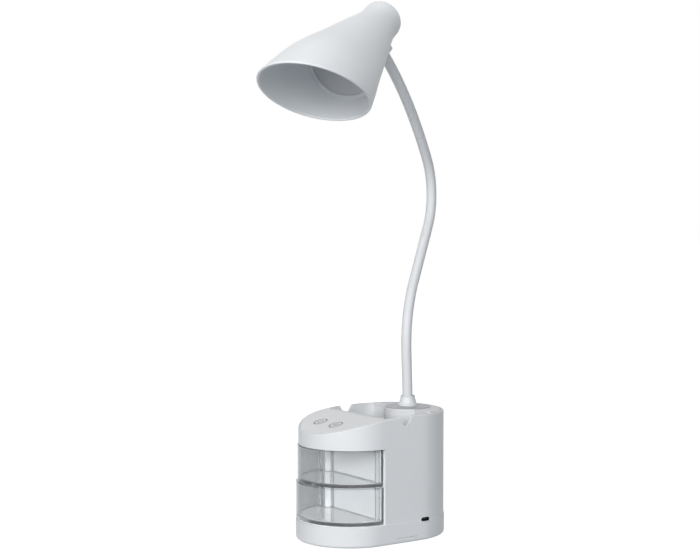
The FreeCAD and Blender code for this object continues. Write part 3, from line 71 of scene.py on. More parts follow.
CAMERA_PLACE = (0.920133, -0.650981, 0.248421)
CAMERA_TILT, CAMERA_HEADING = math.radians(87.73), math.radians(55.54)
FOCAL_LENGTH, SENSOR_WIDTH = 74.571, 36.0
lens_data = bpy.data.cameras.new("view_camera")
lens_data.sensor_width = SENSOR_WIDTH
lens_data.lens = FOCAL_LENGTH
lens_data.clip_start = 0.05
camera = add_object("view_camera", lens_data)
camera.location = CAMERA_PLACE
camera.rotation_euler = (CAMERA_TILT, 0.0, CAMERA_HEADING)
bpy.context.scene.camera = camera
bpy.context.scene.view_settings.view_transform = "Standard"

# Studio.
# A plain floor and sky. Camera and mirror rays meet them white; the clear trays show them a cooler grey.
# Three wide soft lamps light the object from the front, the right and above.
FLOOR_HALF = 9.0
WHITE = 1.0


def backdrop_level(nodes, links, lit, through):
    """A backdrop's own light: white to camera and mirror rays, less as it lights or shows through trays."""
    ray = nodes.new("ShaderNodeLightPath")
    seen = nodes.new("ShaderNodeMath")
    seen.operation = "MAXIMUM"
    links.new(ray.outputs["Is Camera Ray"], seen.inputs[0])
    links.new(ray.outputs["Is Glossy Ray"], seen.inputs[1])
    direct = nodes.new("ShaderNodeMapRange")
    direct.inputs["To Min"].default_value = lit
    direct.inputs["To Max"].default_value = WHITE
    links.new(seen.outputs[0], direct.inputs["Value"])
    level = nodes.new("ShaderNodeMix")
    level.data_type = "FLOAT"
    level.inputs[3].default_value = through
    links.new(ray.outputs["Is Transmission Ray"], level.inputs[0])
    links.new(direct.outputs["Result"], level.inputs[2])
    return level.outputs[0]


floor_mesh = bpy.data.meshes.new("studio_floor")
floor_corners = [(x * FLOOR_HALF, y * FLOOR_HALF, 0.0) for x, y in ((-1, -1), (1, -1), (1, 1), (-1, 1))]
floor_mesh.from_pydata(floor_corners, [], [(0, 1, 2, 3)])
floor = add_object("studio_floor", floor_mesh)
paper = bpy.data.materials.new("floor_paper")
paper.use_nodes = True
paper_nodes, paper_links = paper.node_tree.nodes, paper.node_tree.links
paper_face = paper_nodes["Principled BSDF"]
paper_face.inputs["Base Color"].default_value = (0.37, 0.395, 0.42, 1)
paper_face.inputs["Roughness"].default_value = 0.9
paper_face.inputs["Specular IOR Level"].default_value = 0.1
glow = paper_nodes.new("ShaderNodeEmission")
glow.inputs["Color"].default_value = (0.97, 0.985, 1.0, 1)
both = paper_nodes.new("ShaderNodeAddShader")
paper_level = backdrop_level(paper_nodes, paper_links, lit=0.0, through=0.02)
paper_links.new(paper_level, glow.inputs["Strength"])
paper_links.new(paper_face.outputs[0], both.inputs[0])
paper_links.new(glow.outputs[0], both.inputs[1])
paper_links.new(both.outputs[0], paper_nodes["Material Output"].inputs["Surface"])
floor_mesh.materials.append(paper)

sky = bpy.data.worlds.new("studio_sky")
bpy.context.scene.world = sky
sky.use_nodes = True
sky_nodes, sky_links = sky.node_tree.nodes, sky.node_tree.links
sky_nodes["Background"].inputs["Color"].default_value = (1, 1, 1, 1)
sky_level = backdrop_level(sky_nodes, sky_links, lit=0.04, through=0.27)
sky_links.new(sky_level, sky_nodes["Background"].inputs["Strength"])

LIT_MIDDLE = Vector((0.0, 0.0, 0.2))
BOX_DISTANCE, BOX_WIDTH, BOX_HEIGHT = 2.4, 1.6, 1.2


def softbox(name, towards, power, colour):
    """A wide lamp some way off the object's middle, turned to face it."""
    light = bpy.data.lights.new(name, "AREA")
    light.shape = "RECTANGLE"
    light.size, light.size_y = BOX_WIDTH, BOX_HEIGHT
    light.energy = power
    light.color = colour
    stand = add_object(name, light)
    stand.location = LIT_MIDDLE + Vector(towards).normalized() * BOX_DISTANCE
    stand.rotation_euler = (LIT_MIDDLE - stand.location).to_track_quat("-Z", "Y").to_euler()


softbox("front_softbox", towards=(0.27, -0.97, 0.24), power=27, colour=(1.0, 0.998, 0.995))
softbox("side_softbox", towards=(0.90, -0.50, 0.30), power=34, colour=(0.98, 0.993, 1.0))
softbox("top_softbox", towards=(0.0, 0.0, 1.0), power=15, colour=(0.94, 0.975, 1.0))

# Lower shell.
# One moulding of white ABS with round ends: it holds the electronics and stands on rubber feet.
# The mould leaves a fine satin grain; the shells' crisp edges are broken by a small round.


def new_material(name):
    """A material with its nodes, its links, its shader and the coordinates of its own object."""
    material = bpy.data.materials.new(name)
    material.use_nodes = True
    nodes, links = material.node_tree.nodes, material.node_tree.links
    return material, nodes, links, nodes["Principled BSDF"], nodes.new("ShaderNodeTexCoord").outputs["Object"]


def noise(nodes, links, place, scale, detail=2.0):
    """A noise pattern of some scale, read at a place."""
    pattern = nodes.new("ShaderNodeTexNoise")
    pattern.inputs["Scale"].default_value = scale
    pattern.inputs["Detail"].default_value = detail
    links.new(place, pattern.inputs["Vector"])
    return pattern.outputs["Fac"]


def vary(nodes, links, shader, pattern, colour, dark, roughness):
    """Colour down to a dark share of itself, and roughness from a lowest to a highest value, by a pattern."""
    tone = nodes.new("ShaderNodeMix")
    tone.data_type = "RGBA"
    tone.inputs[6].default_value = (*[c * dark for c in colour], 1)
    tone.inputs[7].default_value = (*colour, 1)
    links.new(pattern, tone.inputs[0])
    links.new(tone.outputs[2], shader.inputs["Base Color"])
    gloss = nodes.new("ShaderNodeMapRange")
    gloss.inputs["To Min"].default_value, gloss.inputs["To Max"].default_value = roughness
    links.new(pattern, gloss.inputs["Value"])
    links.new(gloss.outputs["Result"], shader.inputs["Roughness"])


def relieve(nodes, links, shader, pattern, strength, depth):
    """A relief of some depth in metres, by a pattern."""
    bump = nodes.new("ShaderNodeBump")
    bump.inputs["Strength"].default_value = strength
    bump.inputs["Distance"].default_value = depth
    links.new(pattern, bump.inputs["Height"])
    links.new(bump.outputs["Normal"], shader.inputs["Normal"])


def moulded_plastic(name, colour, roughness=0.42, grain=0.12):
    """Satin injection-moulded plastic: a fine spark-eroded grain and a faint cloudiness of tone."""
    material, nodes, links, shader, place = new_material(name)
    shader.inputs["IOR"].default_value = 1.53
    cloud = noise(nodes, links, place, scale=26.0, detail=3.0)
    vary(nodes, links, shader, cloud, colour, dark=0.965, roughness=(roughness - 0.06, roughness + 0.06))
    spark = noise(nodes, links, place, scale=2400.0)
    relieve(nodes, links, shader, spark, strength=grain, depth=0.00004)
    return material


WELD = 1e-6
CRISP, ROUND_MARGIN = 32, 8


def from_solid(node, body, material, edge=0.00025, crisp=CRISP, tidy=0.2):
    """A moulding made from its solid: faces that turn less than the tidy angle are joined, curves are smooth,
    and edges that turn clearly more than the crisp angle get a small round."""
    shape = bmesh.new()
    shape.from_mesh(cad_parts[node].data)
    bmesh.ops.remove_doubles(shape, verts=shape.verts, dist=WELD)
    if tidy:
        bmesh.ops.dissolve_limit(shape, angle_limit=math.radians(tidy), verts=shape.verts, edges=shape.edges)
    mesh = bpy.data.meshes.new(node + "_skin")
    shape.to_mesh(mesh)
    shape.free()
    for layer in [a.name for a in mesh.attributes if a.name in ("custom_normal", "sharp_edge", "sharp_face")]:
        mesh.attributes.remove(mesh.attributes[layer])
    mesh.shade_smooth()
    mesh.set_sharp_from_angle(angle=math.radians(crisp))
    mesh.materials.append(material)
    piece = add_object(node + "_skin", mesh)
    if edge:
        rounding = piece.modifiers.new("edge_round", "BEVEL")
        rounding.width = edge
        rounding.segments = 2
        rounding.limit_method = "ANGLE"
        rounding.angle_limit = math.radians(crisp + ROUND_MARGIN)
        weight = piece.modifiers.new("even_shading", "WEIGHTED_NORMAL")
        weight.keep_sharp = True
    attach(piece, body)
    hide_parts(node)
    return piece


white_shell = moulded_plastic("white_shell", (0.78, 0.79, 0.805))
from_solid("base_tray", "base", white_shell)

# Bottom cover.
# A screwed hatch of the same white ABS under the battery, with a tongue that shows as a fine outline low on
# the right side.
from_solid("bottom_cover", "base", white_shell, edge=0.00015)


def finish_node(node, material):
    """Give a solid that keeps its own mesh its material."""
    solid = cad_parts[node]
    solid.data.materials.clear()
    solid.data.materials.append(material)


# Circuit boards.
# Two bare boards of green glass-filled laminate. The charger's lies on posts of the lower shell beside the
# port, and the touch keys' is bonded under the panel.
laminate = moulded_plastic("board_laminate", (0.02, 0.10, 0.045), roughness=0.35, grain=0.3)
for board in ("main_board", "touch_board"):
    finish_node(board, laminate)

# Battery pack.
# One lithium cell in a foil pouch, laid flat on the battery hatch inside the lower shell.
finish_node("battery_pack", moulded_plastic("battery_wrap", (0.42, 0.43, 0.45), roughness=0.3, grain=0.5))

# Charging port.
# A drawn steel receptacle, dark inside, soldered to the main board behind a round-ended window.


def metal(name, colour, roughness=0.32):
    """Plated or drawn metal with fine drawing marks along its height."""
    material, nodes, links, shader, place = new_material(name)
    shader.inputs["Metallic"].default_value = 1.0
    stretch = nodes.new("ShaderNodeMapping")
    stretch.inputs["Scale"].default_value = (1.0, 1.0, 0.08)
    links.new(place, stretch.inputs["Vector"])
    marks = noise(nodes, links, stretch.outputs["Vector"], scale=900.0, detail=4.0)
    vary(nodes, links, shader, marks, colour, dark=0.86, roughness=(roughness - 0.08, roughness + 0.08))
    relieve(nodes, links, shader, marks, strength=0.25, depth=0.00003)
    return material


finish_node("charging_port", metal("port_steel", (0.05, 0.05, 0.055), roughness=0.4))

# Rubber feet.
# Five turned pads of grey rubber pressed into seats under the base.
foot_rubber = moulded_plastic("foot_rubber", (0.28, 0.285, 0.29), roughness=0.75, grain=0.5)
from_solid("rubber_feet", "base", foot_rubber, edge=0.0004)

# Upper shell.
# One large moulding of the same white ABS: hood, right-hand and rear walls, pen pocket and the open bay for
# the trays. Its edge meets the lower shell on a stepped seam, and four screws from below hold it.
from_solid("housing", "base", white_shell)

# Pivot post and its washers.
# A white acetal rod in sockets above and below the trays, with thin nylon washers between the hubs.
post_white = moulded_plastic("post_white", (0.70, 0.71, 0.725), roughness=0.35, grain=0.03)
from_solid("pivot_post", "base", post_white, edge=0)
from_solid("post_washers", "base", post_white, edge=0)

# Swinging trays.
# Two D-shaped trays of clear polystyrene, each turning on the post by a hub in its rear corner.


def clear_plastic(name, tint):
    """Clear polystyrene: polished faces with a very faint waviness from the mould; lamps shine through it."""
    material, nodes, links, shader, place = new_material(name)
    shader.inputs["Transmission Weight"].default_value = 0.965
    shader.inputs["IOR"].default_value = 1.5
    ripple = noise(nodes, links, place, scale=60.0)
    vary(nodes, links, shader, ripple, tint, dark=0.985, roughness=(0.0, 0.03))
    relieve(nodes, links, shader, ripple, strength=0.05, depth=0.0002)
    ray = nodes.new("ShaderNodeLightPath")
    through = nodes.new("ShaderNodeBsdfTransparent")
    through.inputs["Color"].default_value = (*[c * 0.97 for c in tint], 1)
    either_way = nodes.new("ShaderNodeMixShader")
    links.new(ray.outputs["Is Shadow Ray"], either_way.inputs["Fac"])
    links.new(shader.outputs[0], either_way.inputs[1])
    links.new(through.outputs[0], either_way.inputs[2])
    links.new(either_way.outputs[0], nodes["Material Output"].inputs["Surface"])
    return material


tray_clear = clear_plastic("tray_clear", (0.955, 0.96, 0.963))
for tray in ("drawer_lower", "drawer_upper"):
    from_solid(tray, tray, tray_clear, edge=0.0007, crisp=24)

# Grip ribs.
# A slanting rib, moulded with the tray, shuts off its free end as a finger grip; a bead stiffens the corner
# behind it.
RIB_BACK, RIB_FRONT, RIB_HALF = Vector((0.0312, -0.0182)), Vector((0.0384, -0.0236)), 0.0007
RIB_FOOT, RIB_CROWN = 0.0023, 0.0014
BEAD_PLACE, BEAD_RADIUS, BEAD_SIDES = Vector((0.0371, -0.0201)), 0.0018, 24
for tray in ("drawer_lower", "drawer_upper"):
    low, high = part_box(tray)
    foot, crown = low[2] + RIB_FOOT, high[2] - RIB_CROWN
    aside = (RIB_FRONT - RIB_BACK).normalized().orthogonal() * RIB_HALF
    outlines = [[RIB_BACK + aside, RIB_BACK - aside, RIB_FRONT - aside, RIB_FRONT + aside]]
    outlines.append([BEAD_PLACE + Vector((math.cos(turn), math.sin(turn))) * BEAD_RADIUS
                     for turn in (2 * math.pi * i / BEAD_SIDES for i in range(BEAD_SIDES))])
    grip = bmesh.new()
    for outline in outlines:
        base_ring = [grip.verts.new((*corner, foot)) for corner in outline]
        lid = bmesh.ops.extrude_face_region(grip, geom=[grip.faces.new(base_ring)])["geom"]
        lid_corners = [part for part in lid if isinstance(part, bmesh.types.BMVert)]
        bmesh.ops.translate(grip, vec=(0, 0, crown - foot), verts=lid_corners)
    bmesh.ops.recalc_face_normals(grip, faces=grip.faces)
    grip_mesh = bpy.data.meshes.new(tray + "_grip")
    grip.to_mesh(grip_mesh)
    grip.free()
    grip_mesh.materials.append(tray_clear)
    grip_mesh.shade_smooth()
    grip_mesh.set_sharp_from_angle(angle=math.radians(CRISP))
    grip_piece = add_object(tray + "_grip", grip_mesh)
    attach(grip_piece, tray)

# Touch panel.
# A thin satin inlay glued on the falling front of the hood, with two touch marks printed on it in dark ink.
panel_white = moulded_plastic("panel_white", (0.86, 0.87, 0.885), roughness=0.3, grain=0.04)
from_solid("touch_panel", "base", panel_white, edge=0.0004)
PANEL_FALL = 0.187      # radius of the falling face
PANEL_TURN = (0.010, 0.098 - PANEL_FALL)      # Y and Z of its centre
INK_LIFT = 0.00005


def on_panel(x, y):
    """A point just above the panel's curved face."""
    rise = math.sqrt((PANEL_FALL + INK_LIFT) ** 2 - (y - PANEL_TURN[0]) ** 2)
    return (x, y, PANEL_TURN[1] + rise)


def printed_line(points, width, closed):
    """Corners and faces of a thin printed line that follows points on the panel."""
    corners, faces = [], []
    count = len(points)
    for i, (x, y) in enumerate(points):
        ahead = points[(i + 1) % count] if closed else points[min(i + 1, count - 1)]
        behind = points[i - 1] if closed else points[max(i - 1, 0)]
        dx, dy = ahead[0] - behind[0], ahead[1] - behind[1]
        size = math.hypot(dx, dy)
        sx, sy = -dy / size * width / 2, dx / size * width / 2
        corners += [on_panel(x + sx, y + sy), on_panel(x - sx, y - sy)]
    for i in range(count if closed else count - 1):
        j = (i + 1) % count
        faces.append((2 * i, 2 * i + 1, 2 * j + 1, 2 * j))
    return corners, faces


def arc(cx, cy, radius, start, end, steps):
    """Points of an arc between two angles in degrees."""
    turns = [math.radians(start + (end - start) * i / steps) for i in range(steps + 1)]
    return [(cx + radius * math.cos(t), cy + radius * math.sin(t)) for t in turns]


def full_ring(cx, cy, radius, sides):
    """Points of a closed ring, with none in the same place twice."""
    return arc(cx, cy, radius, start=0, end=360 - 360 / sides, steps=sides - 1)


KEY_X, KEY_Y, KEY_RADIUS = 0.0105, -0.0398, 0.0050
RING_LINE, SIGN_LINE = 0.0008, 0.0005
POWER_RADIUS, POWER_GAP, POWER_BAR = 0.0022, 35, (0.0008, 0.0027)
SUN_RADIUS, SUN_RAYS, SUN_RAY_ENDS = 0.0012, 8, (0.0019, 0.0028)
ink_lines = [(full_ring(side * KEY_X, KEY_Y, KEY_RADIUS, sides=48), RING_LINE, True) for side in (-1, 1)]
power_arc = arc(-KEY_X, KEY_Y, POWER_RADIUS, start=90 + POWER_GAP, end=450 - POWER_GAP, steps=30)
ink_lines.append((power_arc, SIGN_LINE, False))
ink_lines.append(([(-KEY_X, KEY_Y + reach) for reach in POWER_BAR], SIGN_LINE, False))
ink_lines.append((full_ring(KEY_X, KEY_Y, SUN_RADIUS, sides=24), SIGN_LINE, True))
for ray in range(SUN_RAYS):
    turn = 2 * math.pi * ray / SUN_RAYS
    ink_lines.append(([(KEY_X + reach * math.cos(turn), KEY_Y + reach * math.sin(turn))
                       for reach in SUN_RAY_ENDS], SIGN_LINE, False))
ink_corners, ink_faces = [], []
for points, width, closed in ink_lines:
    corners, faces = printed_line(points, width, closed)
    ink_faces += [tuple(i + len(ink_corners) for i in face) for face in faces]
    ink_corners += corners
ink_mesh = bpy.data.meshes.new("touch_marks")
ink_mesh.from_pydata(ink_corners, [], ink_faces)
ink_mesh.materials.append(moulded_plastic("mark_ink", (0.05, 0.055, 0.06), roughness=0.5, grain=0.0))
touch_marks = add_object("touch_marks", ink_mesh)
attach(touch_marks, "base")

# Rear deck.
# A separate lid of white ABS, let into the rear of the upper shell. It lies on a ledge and carries the neck.
# Its white is a little darker than the shell's: painted shade for the dimmer light on its level top.
white_deck = moulded_plastic("white_deck", (0.74, 0.745, 0.76))
from_solid("deck_cap", "base", white_deck)

# Neck foot: disc, collar, stud, washer and nut.
# The threaded steel stud clamps the deck between a grey domed disc, under a white painted collar, and a
# washer and nut below.
disc_grey = moulded_plastic("disc_grey", (0.385, 0.40, 0.425), roughness=0.36, grain=0.06)
from_solid("neck_flange", "base", disc_grey, edge=0, tidy=0)
collar_white = moulded_plastic("collar_white", (0.74, 0.75, 0.765), roughness=0.34, grain=0.04)
from_solid("neck_collar", "base", collar_white, edge=0, tidy=0)
zinc = metal("zinc_steel", (0.60, 0.61, 0.63))
for fastener in ("neck_stud", "neck_washer", "neck_nut"):
    finish_node(fastener, zinc)

# Gooseneck.
# A steel coil in one smooth white silicone sleeve, swept along the coil's line. The sleeve is parted in the
# middle of each stretch, and bends at five places.
NECK_RADIUS = 0.00405
NECK_FOOT = Vector((0.0, 0.0361, 0.1012))
NECK_YAW = math.radians(32)
FORWARD = Vector((math.sin(NECK_YAW), -math.cos(NECK_YAW), 0.0))
UP = Vector((0.0, 0.0, 1.0))
NECK_LEAN = math.radians(4.2)
BACK_RADIUS, FRONT_RADIUS, UPPER_RADIUS = 0.0833, 0.044, 0.311
BACK_TURN, FRONT_TURN, UPPER_TURN = math.radians(40.35), math.radians(75.8), math.radians(23)
# Each run is a length and a bend, which is one over its radius.
NECK_RUNS = [(0.041, 0.0), (BACK_RADIUS * BACK_TURN, -1 / BACK_RADIUS), (0.0541, 0.0),
             (FRONT_RADIUS * FRONT_TURN, 1 / FRONT_RADIUS), (UPPER_RADIUS * UPPER_TURN, 1 / UPPER_RADIUS),
             (0.012, 0.0)]
NECK_LENGTH = sum(length for length, bend in NECK_RUNS)
BENDS, FIRST_BEND, BEND_STEP, BEND_REACH = 5, 0.045, 0.055, 0.020
SLEEVE_SIDES, SLEEVE_STEP, FEWEST_STEPS = 48, 0.0015, 8


def neck_point(distance):
    """The sleeve's centre at a distance from its foot."""
    forward, rise, lean, left = 0.0, 0.0, NECK_LEAN, distance
    for length, bend in NECK_RUNS:
        run = min(left, length)
        if bend:
            turned = lean + run * bend
            forward += (math.cos(lean) - math.cos(turned)) / bend
            rise += (math.sin(turned) - math.sin(lean)) / bend
            lean = turned
        else:
            forward += run * math.sin(lean)
            rise += run * math.cos(lean)
        left -= run
        if left <= 0:
            break
    return NECK_FOOT + FORWARD * forward + UP * rise


def sleeve_tree(material):
    """Geometry nodes: a round sleeve of a given radius along a curve."""
    tree = bpy.data.node_groups.new("neck_sleeve", "GeometryNodeTree")
    tree.interface.new_socket("Path", in_out="INPUT", socket_type="NodeSocketGeometry")
    tree.interface.new_socket("Radius", in_out="INPUT", socket_type="NodeSocketFloat")
    tree.interface.new_socket("Sides", in_out="INPUT", socket_type="NodeSocketInt")
    tree.interface.new_socket("Sleeve", in_out="OUTPUT", socket_type="NodeSocketGeometry")
    nodes, links = tree.nodes, tree.links
    given, made = nodes.new("NodeGroupInput"), nodes.new("NodeGroupOutput")
    ring = nodes.new("GeometryNodeCurvePrimitiveCircle")
    sweep = nodes.new("GeometryNodeCurveToMesh")
    smooth = nodes.new("GeometryNodeSetShadeSmooth")
    real = nodes.new("GeometryNodeRealizeInstances")
    paint = nodes.new("GeometryNodeSetMaterial")
    paint.inputs["Material"].default_value = material
    links.new(given.outputs["Path"], sweep.inputs["Curve"])
    links.new(given.outputs["Radius"], ring.inputs["Radius"])
    links.new(given.outputs["Sides"], ring.inputs["Resolution"])
    links.new(ring.outputs["Curve"], sweep.inputs["Profile Curve"])
    links.new(sweep.outputs["Mesh"], smooth.inputs["Geometry"])
    links.new(smooth.outputs["Geometry"], real.inputs["Geometry"])
    links.new(real.outputs["Geometry"], paint.inputs["Geometry"])
    links.new(paint.outputs["Geometry"], made.inputs["Sleeve"])
    return tree


def from_tree(name, source, tree, **sizes):
    """Run a tree on an object and keep its result as a plain mesh of its own."""
    run = source.modifiers.new("making", "NODES")
    run.node_group = tree
    for socket in tree.interface.items_tree:
        if socket.item_type == "SOCKET" and socket.in_out == "INPUT" and socket.name in sizes:
            run[socket.identifier] = sizes[socket.name]
    bpy.context.view_layer.update()
    made = source.evaluated_get(bpy.context.evaluated_depsgraph_get())
    mesh = bpy.data.meshes.new_from_object(made)
    mesh.name = name
    source.modifiers.remove(run)
    bpy.data.objects.remove(source)
    return add_object(name, mesh)


silicone = moulded_plastic("white_silicone", (0.74, 0.75, 0.765), roughness=0.5, grain=0.08)
sleeve = sleeve_tree(silicone)
bends = [FIRST_BEND + BEND_STEP * i for i in range(BENDS)]
cuts = [0.0] + [bend + BEND_STEP / 2 for bend in bends[:-1]] + [NECK_LENGTH]
neck_bodies = ["base", "neck_2", "neck_3", "neck_4", "neck_5", "head"]
for i, (start, end) in enumerate(zip(cuts, cuts[1:])):
    path_data = bpy.data.curves.new("sleeve_path", "CURVE")
    path_data.dimensions = "3D"
    line = path_data.splines.new("POLY")
    steps = max(FEWEST_STEPS, round((end - start) / SLEEVE_STEP))
    line.points.add(steps)
    for k in range(steps + 1):
        line.points[k].co = (*neck_point(start + (end - start) * k / steps), 1.0)
    path = add_object("sleeve_path", path_data)
    piece = from_tree("neck_sleeve_%d" % (i + 1), path, sleeve, Radius=NECK_RADIUS, Sides=SLEEVE_SIDES)
    here = bends[i]
    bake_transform(piece, neck_bodies[i], neck_bodies[i + 1],
             neck_point(here - BEND_REACH), neck_point(here + BEND_REACH))
    stands_for = ["neck_link_%d" % (i + 1)] + (["neck_link_6"] if i == BENDS - 1 else [])
    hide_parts(*stands_for)

# Neck socket and shade.
# The shade is one white cone moulding; a round stub under it, with a sleeve inside, takes the neck's end.
# Its waist is filled out a little and its rear end softened, so that the end runs smoothly into the cone.
# Its white is lighter than the shell's: painted light that brightens the head against the base.
shade_white = moulded_plastic("shade_white", (0.84, 0.855, 0.87), roughness=0.4)
from_solid("neck_socket", "head", shade_white, edge=0.0002)
HEAD_DIP = math.radians(29.1)
HEAD_AXIS = FORWARD * math.cos(HEAD_DIP) - UP * math.sin(HEAD_DIP)
HEAD_UP = FORWARD * math.sin(HEAD_DIP) + UP * math.cos(HEAD_DIP)
HEAD_SIDE = HEAD_UP.cross(HEAD_AXIS)
HEAD_BACK, HEAD_OVER = 0.01955, 0.01154
HEAD_REAR = neck_point(NECK_LENGTH) - HEAD_AXIS * HEAD_BACK + HEAD_UP * HEAD_OVER
WAIST_PLACE, WAIST_REACH, WAIST_FILL = 0.015, 0.008, 0.00025
END_REACH, END_SOFTEN = 0.0046, 0.0009
STILL_CORE = 0.015
shade_skin = from_solid("shade", "head", shade_white, edge=0, tidy=0, crisp=40)
for corner in shade_skin.data.vertices:
    along = (corner.co - HEAD_REAR).dot(HEAD_AXIS)
    outward = corner.co - HEAD_REAR - HEAD_AXIS * along
    fill = WAIST_FILL * math.exp(-((along - WAIST_PLACE) / WAIST_REACH) ** 2)
    fill -= END_SOFTEN * math.exp(-(along / END_REACH) ** 2)
    corner.co += outward.normalized() * fill * min(1.0, outward.length / STILL_CORE)

# Light.
# An aluminium carrier pressed into the shade holds the ring of light chips behind a milky, domed cover.
spreader = metal("spreader_aluminium", (0.72, 0.73, 0.74), roughness=0.35)
finish_node("light_carrier", spreader)
finish_node("light_board", moulded_plastic("light_board_white", (0.75, 0.76, 0.74), roughness=0.4))
BOARD_FRONT = 0.0663
CHIP_COUNT, CHIP_RING, CHIP_SIDE, CHIP_THICK = 12, 0.013, 0.003, 0.0008
SCREW_COUNT, SCREW_RING = 3, 0.0164
LIGHT_SCREW = {"Head Radius": 0.0019, "Head Height": 0.0012, "Shank Radius": 0.001, "Shank Length": 0.0056}
SCREW_SIDES, RECESS_SPAN, RECESS_WIDTH = 40, 1.15, 0.26


def ring_spots(count, radius, start):
    """Places round the light's axis on the face of its board, each with a turn that faces out of the head."""
    spots = []
    for i in range(count):
        angle = math.radians(start + 360 * i / count)
        outward = HEAD_UP * math.cos(angle) - HEAD_SIDE * math.sin(angle)
        turn = Matrix((outward, HEAD_AXIS.cross(outward), HEAD_AXIS)).transposed().to_euler()
        spots.append((HEAD_REAR + HEAD_AXIS * BOARD_FRONT + outward * radius, turn))
    return spots


def at_spots(name, spots, tree, **sizes):
    """Loose points with a stored turn each, handed to a tree that sets a copy on every one."""
    mesh = bpy.data.meshes.new(name + "_spots")
    mesh.from_pydata([tuple(place) for place, turn in spots], [], [])
    stored = mesh.attributes.new("turn", "FLOAT_VECTOR", "POINT")
    for item, (place, turn) in zip(stored.data, spots):
        item.vector = tuple(turn)
    return from_tree(name, add_object(name + "_spots", mesh), tree, **sizes)


def spots_tree(name, wanted, build, material):
    """Geometry nodes: one part, built from named sizes, set on every point by its stored turn."""
    tree = bpy.data.node_groups.new(name, "GeometryNodeTree")
    tree.interface.new_socket("Spots", in_out="INPUT", socket_type="NodeSocketGeometry")
    for label in wanted:
        tree.interface.new_socket(label, in_out="INPUT", socket_type="NodeSocketFloat")
    tree.interface.new_socket("Parts", in_out="OUTPUT", socket_type="NodeSocketGeometry")
    nodes, links = tree.nodes, tree.links
    given, made = nodes.new("NodeGroupInput"), nodes.new("NodeGroupOutput")
    turn = nodes.new("GeometryNodeInputNamedAttribute")
    turn.data_type = "FLOAT_VECTOR"
    turn.inputs["Name"].default_value = "turn"
    to_turn = nodes.new("FunctionNodeEulerToRotation")
    set_out = nodes.new("GeometryNodeInstanceOnPoints")
    real = nodes.new("GeometryNodeRealizeInstances")
    paint = nodes.new("GeometryNodeSetMaterial")
    paint.inputs["Material"].default_value = material
    links.new(turn.outputs["Attribute"], to_turn.inputs["Euler"])
    links.new(to_turn.outputs["Rotation"], set_out.inputs["Rotation"])
    links.new(given.outputs["Spots"], set_out.inputs["Points"])
    links.new(build(nodes, links, given), set_out.inputs["Instance"])
    links.new(set_out.outputs["Instances"], real.inputs["Geometry"])
    links.new(real.outputs["Geometry"], paint.inputs["Geometry"])
    links.new(paint.outputs["Geometry"], made.inputs["Parts"])
    return tree


def times(nodes, links, value, factor):
    """A socket's value times a constant."""
    product = nodes.new("ShaderNodeMath")
    product.operation = "MULTIPLY"
    product.inputs[1].default_value = factor
    links.new(value, product.inputs[0])
    return product.outputs[0]


def lifted(nodes, links, shape, height, factor):
    """A shape moved up its own axis by a share of a height."""
    move = nodes.new("GeometryNodeTransform")
    offset = nodes.new("ShaderNodeCombineXYZ")
    links.new(times(nodes, links, height, factor), offset.inputs["Z"])
    links.new(shape, move.inputs["Geometry"])
    links.new(offset.outputs["Vector"], move.inputs["Translation"])
    return move.outputs["Geometry"]


def build_screw(nodes, links, given):
    """A pan-head screw: a head with a cross recess on top of its seat, and a shank below it."""
    rods, cross = [], nodes.new("GeometryNodeMeshBoolean")
    for radius, length, way in (("Head Radius", "Head Height", 0.5), ("Shank Radius", "Shank Length", -0.5)):
        part = nodes.new("GeometryNodeMeshCylinder")
        part.inputs["Vertices"].default_value = SCREW_SIDES
        links.new(given.outputs[radius], part.inputs["Radius"])
        links.new(given.outputs[length], part.inputs["Depth"])
        rods.append(lifted(nodes, links, part.outputs["Mesh"], given.outputs[length], way))
    cross.operation = "DIFFERENCE"
    links.new(rods[0], cross.inputs["Mesh 1"])
    for long_way, short_way in (("X", "Y"), ("Y", "X")):
        blade = nodes.new("GeometryNodeMeshCube")
        size = nodes.new("ShaderNodeCombineXYZ")
        links.new(times(nodes, links, given.outputs["Head Radius"], RECESS_SPAN), size.inputs[long_way])
        links.new(times(nodes, links, given.outputs["Head Radius"], RECESS_WIDTH), size.inputs[short_way])
        links.new(given.outputs["Head Height"], size.inputs["Z"])
        links.new(size.outputs["Vector"], blade.inputs["Size"])
        links.new(lifted(nodes, links, blade.outputs["Mesh"], given.outputs["Head Height"], 1.0),
                  cross.inputs["Mesh 2"])
    both = nodes.new("GeometryNodeJoinGeometry")
    links.new(cross.outputs["Mesh"], both.inputs["Geometry"])
    links.new(rods[1], both.inputs["Geometry"])
    return both.outputs["Geometry"]


def build_chip(nodes, links, given):
    """A square light chip: a flat block that stands on the board."""
    block = nodes.new("GeometryNodeMeshCube")
    size = nodes.new("ShaderNodeCombineXYZ")
    for axis in ("X", "Y"):
        links.new(given.outputs["Side"], size.inputs[axis])
    links.new(given.outputs["Thickness"], size.inputs["Z"])
    links.new(size.outputs["Vector"], block.inputs["Size"])
    return lifted(nodes, links, block.outputs["Mesh"], given.outputs["Thickness"], 0.5)


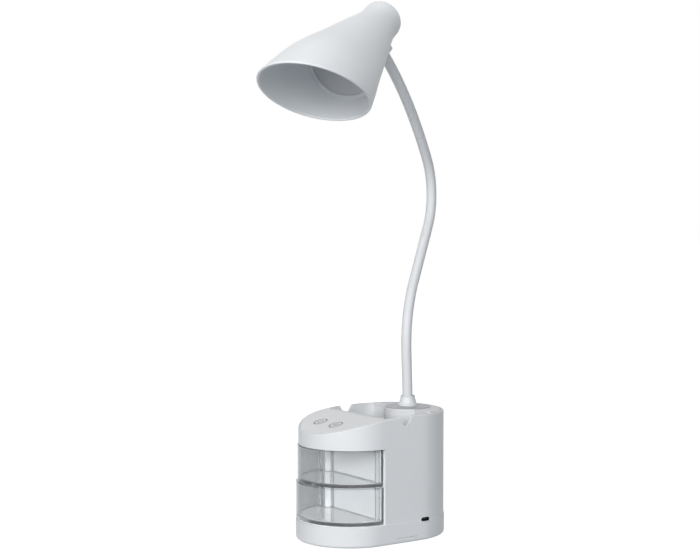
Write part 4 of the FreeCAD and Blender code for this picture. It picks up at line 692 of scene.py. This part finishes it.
phosphor = moulded_plastic("chip_phosphor", (0.80, 0.58, 0.10), roughness=0.3)
chip_tree = spots_tree("chip_ring", ("Side", "Thickness"), build_chip, phosphor)
chips = at_spots("light_chip_ring", ring_spots(CHIP_COUNT, CHIP_RING, start=0), chip_tree,
                 Side=CHIP_SIDE, Thickness=CHIP_THICK)
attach(chips, "head")
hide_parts("light_chips")
screw_tree = spots_tree("pan_screws", tuple(LIGHT_SCREW), build_screw, zinc)


def set_screws(node, body, spots, sizes):
    """The screws of one node, made by the screw tree."""
    piece = at_spots(node + "_set", spots, screw_tree, **sizes)
    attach(piece, body)
    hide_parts(node)


set_screws("light_screws", "head", ring_spots(SCREW_COUNT, SCREW_RING, start=90), LIGHT_SCREW)
milk = moulded_plastic("diffuser_milk", (0.55, 0.555, 0.57), roughness=0.38, grain=0.03)
from_solid("diffuser", "head", milk, edge=0, tidy=0)
ring_white = moulded_plastic("ring_white", (0.70, 0.705, 0.72), roughness=0.4)
from_solid("diffuser_ring", "head", ring_white, edge=0, tidy=0)

# Case and cover screws.
# Zinc-plated pan-head steel screws, driven up from below: four into the upper shell's bosses, two through the
# battery hatch.
DOWNWARD = (math.pi, 0.0, 0.0)
CASE_SCREW = {"Head Radius": 0.0026, "Head Height": 0.0014, "Shank Radius": 0.0013, "Shank Length": 0.0138}
COVER_SCREW = {"Head Radius": 0.0020, "Head Height": 0.0008, "Shank Radius": 0.001, "Shank Length": 0.0056}
CASE_SEAT, COVER_SEAT = 0.0024, 0.0017
FRONT_X, FRONT_Y = 0.026, -0.034
REAR_RING, REAR_TURN, END_CENTRE = 0.03555, math.radians(34.2), 0.0196
REAR_X, REAR_Y = REAR_RING * math.sin(REAR_TURN), END_CENTRE + REAR_RING * math.cos(REAR_TURN)
COVER_X, COVER_YS = -0.030, (-0.011, 0.015)
case_spots = [((side * x, y, CASE_SEAT), DOWNWARD) for x, y in ((FRONT_X, FRONT_Y), (REAR_X, REAR_Y))
              for side in (-1, 1)]
set_screws("case_screws", "base", case_spots, CASE_SCREW)
set_screws("cover_screws", "base", [((COVER_X, y, COVER_SEAT), DOWNWARD) for y in COVER_YS], COVER_SCREW)
